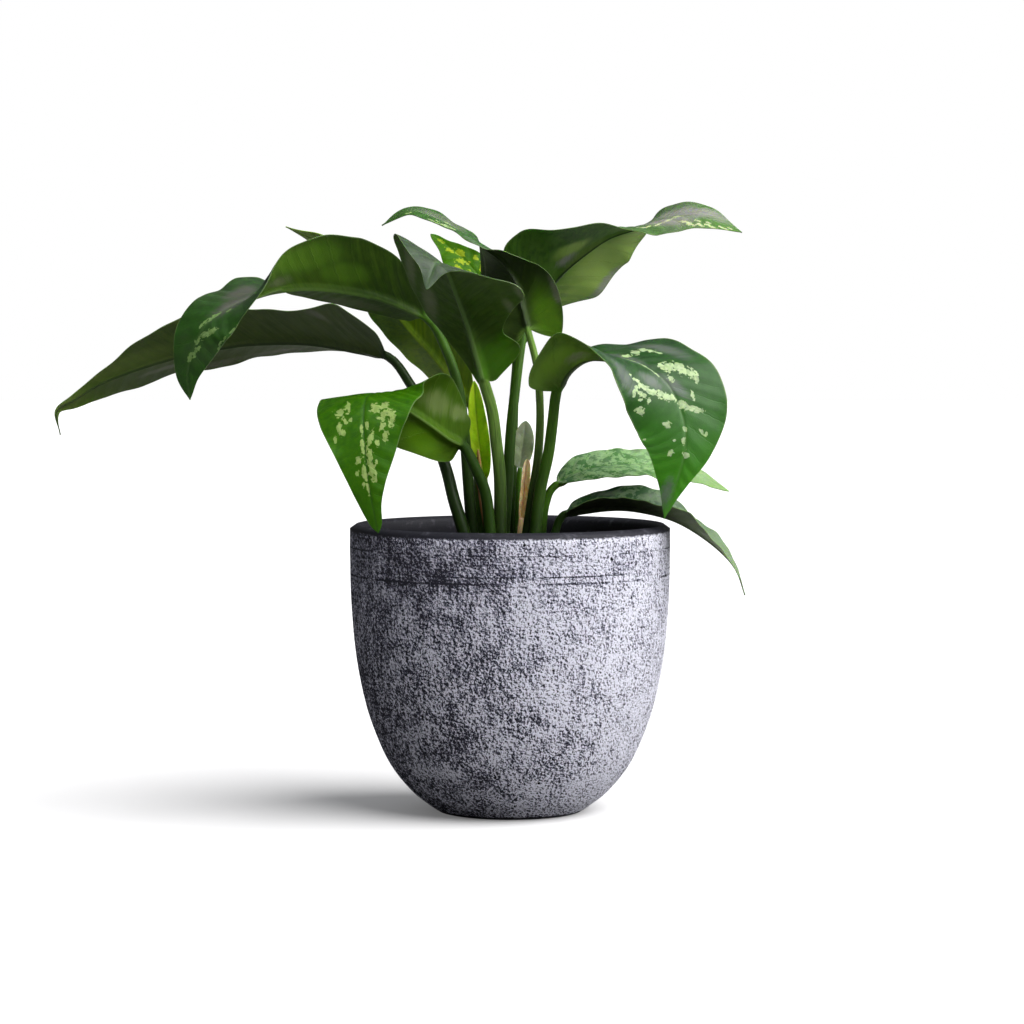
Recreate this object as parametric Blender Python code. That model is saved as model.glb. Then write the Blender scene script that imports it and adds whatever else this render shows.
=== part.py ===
# Chinese evergreen in a lime-washed cement pot: every leaf is one grown piece, petiole and blade,
# and stands in a plain hole in the soil. Lengths below are in millimetres, built in metres.
# The viewer of the photograph looks along +Y, so -Y is the front.

import math

import bpy
import numpy as np

MM = 0.001
GAP = 0.3
SHARP_ANGLE = 50.0

# Pot: outer wall as (radius, height), from the foot up to just under the rim.
POT_WALL = [(38.8, 2.0), (49.5, 10.5), (60.2, 24.0), (68.0, 41.0),
            (73.2, 58.0), (77.2, 80.0), (79.4, 106.0), (80.0, 130.0)]
POT_HEIGHT = 144.0
FOOT_RADIUS = 35.5
WALL_THICKNESS = 5.5
FLOOR_THICKNESS = 8.0
FLOOR_CORNER_WIDTH = 6.0
FLOOR_CORNER_HEIGHT = 3.0
RIM_ROUNDING = 2.2
POT_SEGMENTS = 48

# Soil: height at the wall, rise in the middle, and how high and how long its uneven waves are.
SOIL_TOP = 128.0
SOIL_DOME = 2.0
SOIL_BUMP = 0.5
SOIL_BUMP_X = 30.0
SOIL_BUMP_Y = 37.0
SOIL_RINGS = 5
SOIL_TOP_LAYER = 4.0

# Leaves: height of the buried foot's end, blade thickness, depth of the rib in petiole radii,
# and the shares of a blade in which the petiole flattens and the lobes reach back.
FOOT_BOTTOM = 114.0
BLADE_THICKNESS = 0.8
TIP_HALF_WIDTH = 0.5
RIB_DEPTH = 1.6
NECK_SHARE = 0.04
LOBE_SHARE = 0.25

# How finely a leaf and its hole are divided, and how much of the blade's steps is spaced evenly.
ACROSS = 4
BLADE_STEPS = 28
EVEN_SHARE = 0.6
PETIOLE_STEPS = 8
SPAN_SAMPLES = 16
HOLE_SIDES = 12

# Each leaf has:
#   petiole   points (x, y, z) from just above the soil to just below the blade
#   thick     petiole radius at the foot and at the blade
#   blade     stations (x, y, z, then the way its upper side faces, then the rise of its left and
#             right half in degrees) along the midrib, from the blade's base to its tip
#   half      greatest half width, with the two powers of its outline toward the base and the tip
#   margins   where a margin strays from that outline: (share of the blade, then how many times
#             as wide its left and its right half are)
#   lobe      how far the margins reach back past the blade's base
#   curl      extra bend from midrib to margin, in degrees
#   wave      height of the waves at the margin, how many, and where they start
LEAVES = {
    "leaf_far_left": {
        "petiole": [(-21, -2, 132), (-23, -2, 140), (-28, -1, 156), (-31, 2, 168), (-35, 6, 180),
                    (-42, 13, 198), (-51, 25, 214)],
        "thick": (3.6, 2.2),
        "blade": [(-62, 35, 227, 0, 0.55, 0.83, 8, 33), (-82, 43, 232, 0, 0.55, 0.83, 5, 33),
                  (-102, 47, 235, 0, 0.55, 0.83, 5, 26), (-123, 48, 235, 0, 0.55, 0.83, 10, 20),
                  (-144, 48, 233, 0, 0.55, 0.83, 14, 18), (-175, 47, 226, -0.1, 0.6, 0.8, 12, 18),
                  (-206, 45, 215, -0.2, 0.6, 0.75, 10, 14), (-223, 43, 205, -0.3, 0.6, 0.7, 8, 8),
                  (-232, 42, 199, -0.5, 0.6, 0.5, 5, 5), (-230, 40, 187, -1, 0.5, 0, 0, 0)],
        "half": (28, 0.5, 1.5),
        "margins": [(0, 1, 1), (0.12, 1.5, 1), (0.25, 1.02, 1), (0.45, 1.08, 1), (0.6, 1.4, 1.25),
                    (0.68, 1.5, 1.8), (0.8, 0.95, 2), (1, 0.6, 1.2)],
        "lobe": 6,
        "curl": -10,
        "wave": (2.2, 2.5, 0.3),
    },
    "leaf_upper_left": {
        "petiole": [(-18, 9, 132), (-19, 8, 140), (-21, 6, 165), (-23, 4, 191), (-26, 4, 213),
                    (-33, 5, 233)],
        "thick": (3.2, 2.2),
        "blade": [(-42, 4, 247, 0, 0.6, 0.8, 15, 15), (-64, 2, 257, 0, 0.6, 0.8, 15, 15),
                  (-84, -6, 261, 0, 0.6, 0.8, 18, 15), (-101, -17, 262, -0.1, 0.55, 0.8, 22, 18),
                  (-114, -27, 260, -0.2, 0.15, 0.95, 45, 35), (-123, -35, 257, -0.3, -0.4, 0.85, 50, 30),
                  (-131, -42, 254, -0.4, -0.65, 0.7, 20, 15), (-140, -47, 249, -0.4, -0.85, 0.4, 2, 2),
                  (-148, -50, 242, -0.4, -0.9, 0.3, 0, 0), (-153, -51, 231, -0.3, -0.95, 0.15, 0, 0),
                  (-156, -50, 219, -0.3, -0.95, 0.1, 0, 0), (-155, -48, 207, -0.2, -1, 0, 0, 0)],
        "half": (27, 0.5, 0.9),
        "margins": [(0, 1, 1), (0.17, 1.15, 0.75), (0.33, 1.25, 0.55), (0.45, 1.18, 0.55),
                    (0.58, 0.85, 0.75), (0.68, 0.65, 0.85), (0.78, 0.95, 1.0), (1, 1, 1)],
        "lobe": 0,
        "curl": -8,
        "wave": (2.0, 2.0, 0.1),
    },
    "leaf_centre": {
        "petiole": [(-5, -2, 132), (-5, -2, 140), (-5, -2, 166), (-7, -2, 186), (-9, -3, 201)],
        "thick": (3.4, 2.8),
        "blade": [(-13, -5, 215, 0.1, 0.95, 0.3, 8, 8), (-17, -12, 230, 0.1, 0.92, 0.4, 8, 8),
                  (-21, -22, 245, 0.2, 0.8, 0.55, 6, 6), (-26, -34, 259, 0.4, 0.6, 0.7, 4, 8),
                  (-31, -46, 271, 0.4, 0.3, 0.85, 2, 17), (-36, -58, 272, 0.2, -0.4, 0.9, 2, 16),
                  (-40, -66, 260, -0.1, -0.9, 0.3, 0, 0)],
        "half": (31.5, 0.8, 0.65),
        "margins": [(0, 0.8, 0.5), (0.11, 1.45, 0.42), (0.25, 0.7, 0.56), (0.4, 0.82, 0.73),
                    (0.58, 1.25, 0.9), (0.68, 1.18, 1.05), (0.75, 0.95, 1.18), (0.83, 0.5, 0.9),
                    (0.9, 0.3, 0.35), (1, 0.2, 0.2)],
        "lobe": 6,
        "curl": -8,
        "wave": (2.5, 1.6, 0.4),
    },
    "leaf_top": {
        "petiole": [(8, -2.5, 132), (8.5, -2.5, 140), (11.5, -3, 161), (14, -4, 178), (15, -5, 198),
                    (14, -6, 218), (12, -7, 229)],
        "thick": (2.6, 1.7),
        "blade": [(9, -8, 240, 0.1, 0.97, 0.1, 0, 5), (6, -8, 253, 0.15, 0.95, 0.2, 0, 5),
                  (4, -7, 263, 0.2, 0.9, 0.4, -10, 5), (-3, -6, 275, 0.35, 0.6, 0.7, -10, 5),
                  (-14, -8, 283, 0.3, 0, 0.95, 5, 5), (-22, -12, 288, 0.2, -0.25, 0.95, 5, 5),
                  (-35, -15, 295, 0.1, -0.55, 0.85, 4, 4), (-50, -18, 299, 0, -0.55, 0.85, 4, 4),
                  (-63, -20, 292, -0.3, -0.5, 0.8, 0, 0)],
        "half": (26, 0.3, 1.2),
        "margins": [(0, 0.8, 0.6), (0.1, 0.8, 0.7), (0.19, 0.75, 0.8), (0.25, 0.65, 0.9), (0.3, 0.5, 1),
                    (0.4, 0.35, 1.05), (0.49, 0.3, 0.75), (0.56, 0.25, 0.3), (0.63, 0.5, 0.45),
                    (0.74, 0.75, 0.85), (0.87, 0.8, 0.8), (1, 1, 1)],
        "lobe": 14,
        "curl": -6,
        "wave": (2.0, 2.0, 0.0),
    },
    "leaf_upper_right": {
        "petiole": [(-3, 6.5, 132), (-3, 6.5, 140), (-1, 6, 166), (0.5, 6, 191), (3, 10, 214), (6, 14, 236)],
        "thick": (3.2, 2.2),
        "blade": [(9, 18, 250, -0.5, 0.85, 0.2, 45, 0), (17, 19, 260, -0.45, 0.85, 0.3, 30, 2),
                  (27, 18, 271, -0.35, 0.7, 0.6, 0, 5), (39, 15, 281, -0.2, 0.3, 0.9, -12, 5),
                  (50, 12, 288, -0.15, 0.15, 1, -20, 4), (63, 9, 292, 0, -0.1, 1, -10, 6),
                  (78, 6, 296, 0, -0.35, 0.95, 0, 4), (95, 1, 297, 0.1, -0.45, 0.9, 4, 0),
                  (115, -6, 289, 0.4, -0.45, 0.8, 0, 0)],
        "half": (29, 0.42, 0.9),
        "margins": [(0, 1, 1), (0.1, 1, 1.4), (0.22, 1, 1.35), (0.35, 0.95, 1.25), (0.5, 0.9, 1.1),
                    (0.62, 1.1, 1.1), (0.78, 1.15, 1.2), (1, 1, 1)],
        "lobe": 0,
        "curl": -6,
        "wave": (1.2, 2.0, 0.2),
    },
    "leaf_behind_top": {
        "petiole": [(1, 20, 132), (1, 20, 140), (1, 22, 170), (2, 25, 205)],
        "thick": (3.0, 2.2),
        "blade": [(3, 28, 230, 0.2, -0.9, 0.2, 8, 8), (-4, 36, 247, 0.2, -0.85, 0.4, 8, 8),
                  (-13, 46, 264, 0.2, -0.8, 0.5, 8, 8), (-25, 54, 278, 0.2, -0.8, 0.5, 6, 6),
                  (-41, 62, 290, 0.2, -0.8, 0.5, 0, 0)],
        "half": (19, 0.6, 0.7),
        "margins": [(0, 1, 1), (0.5, 1, 0.8), (0.75, 0.8, 0.45), (0.9, 0.5, 0.3), (1, 0.5, 0.5)],
        "lobe": 0,
        "curl": 6,
        "wave": (1.2, 2.0, 0.3),
    },
    "leaf_right": {
        "petiole": [(12, -9, 132), (12.5, -9, 140), (15, -9, 161), (19, -10, 179), (21, -11, 194)],
        "thick": (3.2, 2.6),
        "blade": [(23, -12, 210, -0.6, 0.15, 0.75, 20, 45), (27, -15, 220, -0.6, 0.1, 0.75, 20, 45),
                  (36, -19, 227, -0.4, 0.1, 0.9, 25, 40), (47, -25, 228, 0, 0, 1, 16, 15),
                  (64, -32, 224, 0.15, -0.45, 0.9, 10, 12), (77, -39, 214, 0.25, -0.8, 0.6, 8, 5),
                  (84, -44, 198, 0.2, -0.9, 0.35, 2, 0), (85, -46, 183, 0.15, -0.93, 0.25, -2, 0),
                  (81, -46, 167, 0.1, -0.95, 0.15, -2, 0), (75, -44, 149, 0, -0.95, 0.1, 0, 0)],
        "half": (31, 0.45, 1.0),
        "margins": [(0, 1, 1), (0.1, 0.5, 0.85), (0.16, 0.3, 0.9), (0.21, 0.6, 1), (0.27, 1.1, 1),
                    (0.35, 1.1, 1), (0.45, 0.95, 1), (0.55, 1, 1), (0.65, 1.02, 1.08), (0.72, 0.9, 1.22),
                    (0.8, 0.75, 1.22), (0.87, 0.6, 1.1), (0.93, 0.5, 1), (1, 0.5, 1)],
        "lobe": 7,
        "curl": -8,
        "wave": (2.0, 2.0, 0.3),
    },
    "leaf_front_left": {
        "petiole": [(-10, -11, 132), (-10, -11, 140), (-12, -11, 159), (-17, -12, 172)],
        "thick": (3.2, 2.6),
        "blade": [(-23, -12, 183, -0.2, 0.9, 0.3, 5, 5), (-32, -17, 188, -0.5, 0.75, 0.25, 5, 5),
                  (-42, -24, 196, -0.5, 0.7, 0.4, 5, 5), (-54, -33, 205, -0.4, 0.5, 0.75, 3, 3),
                  (-64, -45, 210, -0.15, 0, 1, 0, 0), (-69, -60, 208, -0.05, -0.5, 0.85, 0, -5),
                  (-70, -70, 198, -0.05, -0.9, 0.4, 0, 0), (-69, -75, 184, 0, -0.98, 0.15, 0, 0),
                  (-67, -76, 165, 0, -1, 0.05, 0, 0), (-63, -73, 144, 0, -1, 0, 0, 0)],
        "half": (26, 0.45, 0.8),
        "margins": [(0, 1, 0.8), (0.1, 1, 0.72), (0.2, 1.05, 0.8), (0.27, 1, 0.9), (0.33, 0.85, 0.95),
                    (0.42, 1, 1), (0.6, 0.98, 1), (0.68, 0.88, 0.92), (0.76, 0.78, 0.82),
                    (0.85, 0.62, 0.72), (0.93, 0.55, 0.75), (1, 1, 1)],
        "lobe": 4,
        "curl": -6,
        "wave": (1.8, 2.0, 0.4),
    },
    "leaf_behind_left": {
        "petiole": [(-14, 19, 132), (-15, 19, 140), (-16, 22, 170), (-17, 24, 190)],
        "thick": (3.0, 2.2),
        "blade": [(-21, 26, 205, 0.5, 0.75, 0.4, 10, 10), (-36, 34, 225, 0.45, 0.7, 0.5, 10, 10),
                  (-52, 42, 243, 0.4, 0.7, 0.6, 10, 10), (-70, 52, 264, 0.4, 0.7, 0.6, 8, 8),
                  (-91, 60, 282, 0.3, 0.4, 0.85, 4, 4), (-116, 66, 294, 0, 0.2, 1, 0, 0)],
        "half": (22, 0.6, 0.9),
        "lobe": 0,
        "curl": -4,
        "wave": (1.6, 2.0, 0.6),
    },
    "leaf_small": {
        "petiole": [(3.5, 12.5, 132), (3.5, 12.5, 140), (4, 12, 159)],
        "thick": (1.5, 1.2),
        "blade": [(5, 12, 171, 0, -1, 0.1, 8, 8), (6, 12, 179, 0, -1, 0.1, 8, 8),
                  (7, 12, 186, 0, -1, 0.1, 8, 8), (8, 12, 195, 0, -1, 0.2, 0, 0)],
        "half": (5.5, 0.5, 0.6),
        "lobe": 0,
        "curl": 0,
        "wave": (0.2, 1.0, 0.0),
    },
    "leaf_low_right": {
        "petiole": [(15, 4, 132), (16, 4, 140), (18, 4, 154)],
        "thick": (2.6, 1.9),
        "blade": [(23, 5, 163, -0.3, -0.35, 0.9, 10, 10), (40, 9, 171, 0, -0.35, 0.93, 8, 8),
                  (66, 14, 173, 0.1, -0.35, 0.93, 6, 6), (91, 19, 169, 0.2, -0.35, 0.9, 4, 4),
                  (111, 24, 159, 0.4, -0.35, 0.85, 0, 0)],
        "half": (19, 0.7, 0.9),
        "lobe": 0,
        "curl": -6,
        "wave": (1.2, 2.0, 0.2),
    },
    "leaf_trailing": {
        "petiole": [(21, -4, 132), (22.5, -4.5, 140)],
        "thick": (2.6, 1.9),
        "blade": [(27, -7, 149, -0.3, -0.3, 0.9, 20, 30), (40, -10, 152, -0.1, -0.3, 0.95, 25, 38),
                  (55, -13, 153, 0.1, -0.3, 0.95, 25, 40), (69, -16, 151, 0.3, -0.3, 0.9, 25, 40),
                  (82, -18, 147, 0.5, -0.25, 0.85, 20, 35), (94, -20, 140, 0.65, -0.2, 0.75, 15, 30),
                  (105, -22, 131, 0.75, -0.2, 0.6, 10, 20), (112, -23, 122, 0.85, -0.2, 0.4, 0, 8),
                  (116, -24, 110, 0.95, -0.1, 0.2, 0, 0)],
        "half": (16.5, 0.6, 1.0),
        "lobe": 0,
        "curl": -6,
        "wave": (1.2, 2.5, 0.6),
    },
    "leaf_young": {
        "petiole": [(-10, 14, 132), (-11, 14, 140), (-13, 14, 154)],
        "thick": (2.4, 1.8),
        "blade": [(-13, 15, 165, 0, -1, 0.1, 40, 30), (-15, 15, 180, 0, -1, 0.1, 40, 30),
                  (-17, 16, 198, 0, -1, 0.1, 40, 30), (-18, 14, 215, 0, -1, 0.1, 20, 20)],
        "half": (7, 0.5, 0.7),
        "lobe": 0,
        "curl": 20,
        "wave": (0.4, 1.5, 0.0),
    },
    "dried_sheath_straw": {
        "petiole": [(4.8, 3, 132), (5, 3, 140)],
        "thick": (1.5, 1.3),
        "blade": [(5.6, 3, 146, 0.1, -1, 0, 25, 25), (6.6, 3, 155, 0.1, -1, 0, 25, 25),
                  (7.6, 3, 165, 0.1, -1, 0, 25, 25), (8.6, 3, 176, 0.1, -1, 0, 10, 10)],
        "half": (3.1, 0.3, 0.35),
        "lobe": 0,
        "curl": 40,
        "wave": (0.2, 1.5, 0.0),
    },
    "dried_sheath_brown": {
        "petiole": [(-11, 4, 132), (-12, 4, 140), (-14, 3, 152)],
        "thick": (1.3, 1.0),
        "blade": [(-15, 3, 160, -0.4, 0.9, 0, 30, 30), (-15, 3, 168, -0.4, 0.9, 0, 30, 30),
                  (-15, 3, 174, -0.4, 0.9, 0, 30, 30), (-16, 3, 181, -0.4, 0.9, 0, 20, 20)],
        "half": (2.2, 0.3, 0.6),
        "lobe": 0,
        "curl": 50,
        "wave": (0.2, 1.5, 0.0),
    },
}

# Base colour and roughness of each node.
LEAF_GREEN = (0.035, 0.11, 0.015)
LEAF_COLOURS = {
    "leaf_far_left": (0.045, 0.085, 0.018),
    "leaf_upper_left": (0.05, 0.095, 0.02),
    "leaf_behind_top": (0.16, 0.36, 0.02),
    "leaf_behind_left": (0.12, 0.24, 0.02),
    "leaf_small": (0.12, 0.19, 0.06),
    "leaf_young": (0.2, 0.38, 0.01),
    "dried_sheath_straw": (0.55, 0.35, 0.12),
    "dried_sheath_brown": (0.2, 0.08, 0.02),
}
LEAF_ROUGHNESS = 0.38
POT_COLOUR = (0.28, 0.28, 0.34)
SOIL_COLOUR = (0.03, 0.022, 0.016)


def clear_scene():
    for obj in list(bpy.data.objects):
        bpy.data.objects.remove(obj, do_unlink=True)


def make_material(name, colour, roughness):
    material = bpy.data.materials.new(name)
    material.use_nodes = True
    shader = material.node_tree.nodes["Principled BSDF"]
    shader.inputs["Base Color"].default_value = (*colour, 1.0)
    shader.inputs["Roughness"].default_value = roughness
    shader.inputs["Metallic"].default_value = 0.0
    material.diffuse_color = (*colour, 1.0)
    return material


def add_object(name, points, faces, material=None):
    mesh = bpy.data.meshes.new(name)
    mesh.from_pydata((np.asarray(points, float) * MM).tolist(), [], faces)
    mesh.shade_smooth()
    mesh.set_sharp_from_angle(angle=math.radians(SHARP_ANGLE))
    obj = bpy.data.objects.new(name, mesh)
    bpy.context.scene.collection.objects.link(obj)
    if material:
        mesh.materials.append(material)
    return obj


def smooth_curve(rows, samples):
    """Catmull-Rom curve through the rows, with the same number of samples on every span."""
    rows = np.asarray(rows, float)
    padded = np.vstack([2 * rows[0] - rows[1], rows, 2 * rows[-1] - rows[-2]])
    part = (np.arange(samples) / samples)[:, None]
    spans = []
    for before, start, end, after in zip(padded, padded[1:], padded[2:], padded[3:]):
        leave = (end - before) / 2
        arrive = (after - start) / 2
        cubic = 2 * (start - end) + leave + arrive
        square = 3 * (end - start) - 2 * leave - arrive
        spans.append(((cubic * part + square) * part + leave) * part + start)
    return np.vstack([*spans, rows[-1:]])


def unit(vectors):
    return vectors / np.linalg.norm(vectors, axis=-1, keepdims=True)


def columns_at(where, known, table):
    return np.stack([np.interp(where, known, column) for column in table.T], axis=1)


def turned(profile, segments):
    """Points and faces of the profile (radius, height) turned once about Z, closed at both poles."""
    profile = np.asarray(profile, float)
    turn = 2 * math.pi * np.arange(segments) / segments
    ring = profile[1:-1]
    points = np.stack([np.outer(ring[:, 0], np.cos(turn)), np.outer(ring[:, 0], np.sin(turn)),
                       np.repeat(ring[:, 1:], segments, axis=1)], axis=-1).reshape(-1, 3)
    start, end = len(points), len(points) + 1
    points = np.vstack([points, [0, 0, profile[0, 1]], [0, 0, profile[-1, 1]]])
    last = (len(ring) - 1) * segments
    faces = []
    for k in range(segments):
        following = (k + 1) % segments
        faces.append((start, following, k))
        faces.append((end, last + k, last + following))
        for row in range(0, last, segments):
            faces.append((row + k, row + following, row + segments + following, row + segments + k))
    return points, faces


def wall_curve(inward, samples):
    """The pot's wall from the foot to under the rim, moved inward by this much."""
    curve = smooth_curve(POT_WALL, samples)
    along = unit(np.gradient(curve, axis=0))
    return curve + inward * np.stack([-along[:, 1], along[:, 0]], axis=1)


def rim_arc(centre_radius, quarter):
    """Quarter circle of the rim: quarter 0 is its outer edge, quarter 1 its inner edge."""
    centre = np.array([centre_radius, POT_HEIGHT - RIM_ROUNDING])
    angles = np.radians(90 * quarter + np.array([0, 30, 60, 90]))
    arc = centre + RIM_ROUNDING * np.stack([np.cos(angles), np.sin(angles)], axis=1)
    return list(map(tuple, arc))


def inside_profile(inward):
    """Pot inside from the middle of the floor up the wall, moved inward by this much."""
    wall = wall_curve(WALL_THICKNESS + inward, 1)
    floor = FLOOR_THICKNESS + inward
    wall = wall[wall[:, 1] > floor + FLOOR_CORNER_HEIGHT]
    return [(0.0, floor), (wall[0, 0] - FLOOR_CORNER_WIDTH, floor), *map(tuple, wall)]


def add_pot():
    rim = POT_WALL[-1][0]
    outside = [(0.0, 0.0), (FOOT_RADIUS, 0.0), *map(tuple, wall_curve(0.0, 2))]
    edge = rim_arc(rim - RIM_ROUNDING, 0) + rim_arc(rim - WALL_THICKNESS + RIM_ROUNDING, 1)
    profile = outside + edge + inside_profile(0.0)[::-1]
    points, faces = turned(profile, POT_SEGMENTS)
    material = make_material("lime_washed_cement", POT_COLOUR, 0.85)
    return add_object("pot", points, faces, material)


def add_soil(feet):
    """Soil filling the pot with a hair of clearance, its top slightly domed and uneven."""
    inside = inside_profile(GAP)
    below = [point for point in inside if point[1] < SOIL_TOP - SOIL_TOP_LAYER]
    radii, heights = np.array(inside[1:]).T
    edge = float(np.interp(SOIL_TOP, heights, radii))
    top = []
    for ring in range(SOIL_RINGS):
        inner = 1 - ring / SOIL_RINGS
        top.append((edge * inner, SOIL_TOP + SOIL_DOME * (1 - inner ** 2)))
    profile = below + top + [(0.0, SOIL_TOP + SOIL_DOME)]
    points, faces = turned(profile, POT_SEGMENTS)
    loose = points[:, 2] > SOIL_TOP - GAP
    wave_x = np.sin(2 * math.pi * points[loose, 0] / SOIL_BUMP_X + 1.0)
    wave_y = np.cos(2 * math.pi * points[loose, 1] / SOIL_BUMP_Y)
    points[loose, 2] += SOIL_BUMP * wave_x * wave_y
    soil = add_object("potting_soil", points, faces, make_material("potting_soil", SOIL_COLOUR, 0.95))
    holes = soil.modifiers.new("stem holes", "BOOLEAN")
    holes.operation = "DIFFERENCE"
    holes.solver = "EXACT"
    holes.object = add_hole_cutter(feet)
    return soil


def add_hole_cutter(feet):
    """One mesh of round cutters, one for each foot, along the foot and a gap wider."""
    points, faces = [], []
    turn = 2 * math.pi * (np.arange(HOLE_SIDES) + 0.5) / HOLE_SIDES
    for foot, direction, radius in feet:
        direction = unit(np.asarray(direction, float))
        side = unit(np.cross(direction, (0.0, 1.0, 0.0)))
        back = np.cross(direction, side)
        wide = (radius + GAP) / math.cos(math.pi / HOLE_SIDES)
        first = len(points)
        above = SOIL_TOP + 3 * SOIL_DOME - FOOT_BOTTOM
        for reach in (-GAP, above / direction[2]):
            for angle in turn:
                spoke = wide * (math.cos(angle) * side + math.sin(angle) * back)
                points.append(foot + direction * reach + spoke)
        low = list(range(first, first + HOLE_SIDES))
        high = [index + HOLE_SIDES for index in low]
        faces.append(low[::-1])
        faces.append(high)
        for k in range(HOLE_SIDES):
            following = (k + 1) % HOLE_SIDES
            faces.append((low[k], low[following], high[following], high[k]))
    cutter = add_object("stem_hole_cutter", points, faces)
    cutter.hide_render = True
    cutter.display_type = "WIRE"
    return cutter


def foot_line(leaf):
    """Bottom of the foot and the straight direction in which it leaves the soil."""
    low, high = (np.asarray(point, float) for point in leaf["petiole"][:2])
    direction = unit(high - low)
    return low - direction * (low[2] - FOOT_BOTTOM) / direction[2], direction


def leaf_stations(leaf):
    """All stations of the leaf from foot to tip, and the index of the blade's first one."""
    foot, _ = foot_line(leaf)
    start = np.asarray(leaf["petiole"][0], float)
    places = [foot, (foot + start) / 2, *leaf["petiole"]]
    outward = np.subtract(leaf["blade"][len(leaf["blade"]) // 2][:2], start[:2])
    inner_face = [*(-unit(outward)), 0.0]
    rows = []
    for index, place in enumerate(places):
        share = index / len(places)
        face = (1 - share) * np.asarray(inner_face) + share * np.asarray(leaf["blade"][0][3:6])
        rows.append([*place, *face, *leaf["blade"][0][6:]])
    return rows + [list(station) for station in leaf["blade"]], len(rows)


def outline_width(share, leaf):
    """Half width of the blade at this share of its length, as t^a (1 - t)^b scaled to its greatest."""
    half, toward_base, toward_tip = leaf["half"]
    top = toward_base / (toward_base + toward_tip)
    peak = top ** toward_base * (1 - top) ** toward_tip
    share = np.clip(share, 0.0, 1.0)
    width = half * share ** toward_base * (1 - share) ** toward_tip / peak
    return np.maximum(width, TIP_HALF_WIDTH)


def margin_stretch(share, leaf):
    """How many times as wide as its plain outline the left and the right half are along the blade."""
    rows = smooth_curve(leaf.get("margins", [(0, 1, 1), (1, 1, 1)]), SPAN_SAMPLES)
    return [np.interp(share, rows[:, 0], column) for column in rows.T[1:]]


def leaf_rings(leaf):
    """Cross-sections of the leaf from foot to tip: round along the petiole, a thin arc along the blade."""
    rows, base_row = leaf_stations(leaf)
    dense = smooth_curve(rows, SPAN_SAMPLES)
    steps = np.linalg.norm(np.diff(dense[:, :3], axis=0), axis=1)
    length = np.concatenate([[0.0], np.cumsum(steps)])
    base = length[base_row * SPAN_SAMPLES]
    even = np.linspace(0.0, 1.0, BLADE_STEPS + 1)
    spaced = EVEN_SHARE * even + (1 - EVEN_SHARE) * (1 - np.cos(math.pi * even)) / 2
    on_petiole = np.linspace(0.0, base, PETIOLE_STEPS, endpoint=False)
    along = np.concatenate([on_petiole, base + (length[-1] - base) * spaced])
    table = columns_at(along, length, dense)
    tangent = unit(columns_at(along, length, np.gradient(dense[:, :3], axis=0)))
    side = unit(np.cross(tangent, table[:, 3:6]))
    face = np.cross(side, tangent)
    share = (along - base) / (length[-1] - base)
    thick = np.interp(along, [0.0, base, length[-1]], [*leaf["thick"], BLADE_THICKNESS / 2])
    neck = np.clip(share / NECK_SHARE, 0.0, 1.0)
    neck = neck * neck * (3 - 2 * neck)

    across = np.linspace(-1.0, 1.0, ACROSS + 1)
    hand = np.where(across < 0, -1.0, 1.0)
    out = np.abs(across)
    rise = np.radians(np.where(across < 0, table[:, 6:7], table[:, 7:8]))
    curl = math.radians(leaf["curl"])
    lean = rise + curl * out / 2
    left, right = margin_stretch(share, leaf)
    stretch = np.where(across < 0, left[:, None], right[:, None])
    reach = outline_width(share, leaf)[:, None] * stretch * out * np.sinc(curl * out / (2 * math.pi))
    height, count, phase = leaf["wave"]
    swell = np.sin(math.pi * np.clip(share, 0.0, 1.0))[:, None]
    turns = count * share[:, None] + phase + 0.25 * hand
    wave = height * swell * out ** 2 * np.sin(2 * math.pi * turns)
    back = leaf["lobe"] * out ** 2 * np.clip(1 - share / LOBE_SHARE, 0.0, 1.0)[:, None] ** 2
    sideways = (reach * np.cos(lean) * hand)[..., None] * side[:, None]
    upward = (reach * np.sin(lean) + wave)[..., None] * face[:, None]
    middle = table[:, None, :3] - back[..., None] * tangent[:, None] + sideways + upward
    tilt = rise + curl * out
    normal = np.cos(tilt)[..., None] * face[:, None] - (np.sin(tilt) * hand)[..., None] * side[:, None]
    rib = np.maximum(RIB_DEPTH * thick - BLADE_THICKNESS / 2, 0.0)[:, None] * (out == 0.0)
    upper = middle + normal * BLADE_THICKNESS / 2
    lower = middle - normal * (BLADE_THICKNESS / 2 + rib)[..., None]

    angle = math.pi * (1 - (np.arange(ACROSS + 1) + 0.5) / (ACROSS + 1))
    wide = thick[:, None, None] * np.cos(angle)[:, None] * side[:, None]
    tall = thick[:, None, None] * np.sin(angle)[:, None] * face[:, None]
    stem_upper = table[:, None, :3] + wide + tall
    stem_lower = table[:, None, :3] + wide - tall
    blend = neck[:, None, None]
    upper = stem_upper + blend * (upper - stem_upper)
    lower = stem_lower + blend * (lower - stem_lower)
    return np.concatenate([upper, lower[:, ::-1]], axis=1)


def ring_faces(rings, width):
    """Triangles of the closed sweep, split alike on the upper and lower side, with both ends capped."""
    faces = []
    half = width // 2
    for row in range(rings - 1):
        for k in range(width):
            a = row * width + k
            b = row * width + (k + 1) % width
            c, d = b + width, a + width
            if k < half:
                faces += [(a, b, c), (a, c, d)]
            else:
                faces += [(a, b, d), (b, c, d)]
    end = (rings - 1) * width
    for k in range(half - 1):
        mirror = width - 1 - k
        faces += [(k, mirror - 1, k + 1), (k, mirror, mirror - 1)]
        faces += [(end + k, end + k + 1, end + mirror - 1), (end + k, end + mirror - 1, end + mirror)]
    return faces


def add_leaf(name, leaf):
    rings = leaf_rings(leaf)
    faces = ring_faces(rings.shape[0], rings.shape[1])
    material = make_material(name, LEAF_COLOURS.get(name, LEAF_GREEN), LEAF_ROUGHNESS)
    return add_object(name, rings.reshape(-1, 3), faces, material)


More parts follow.
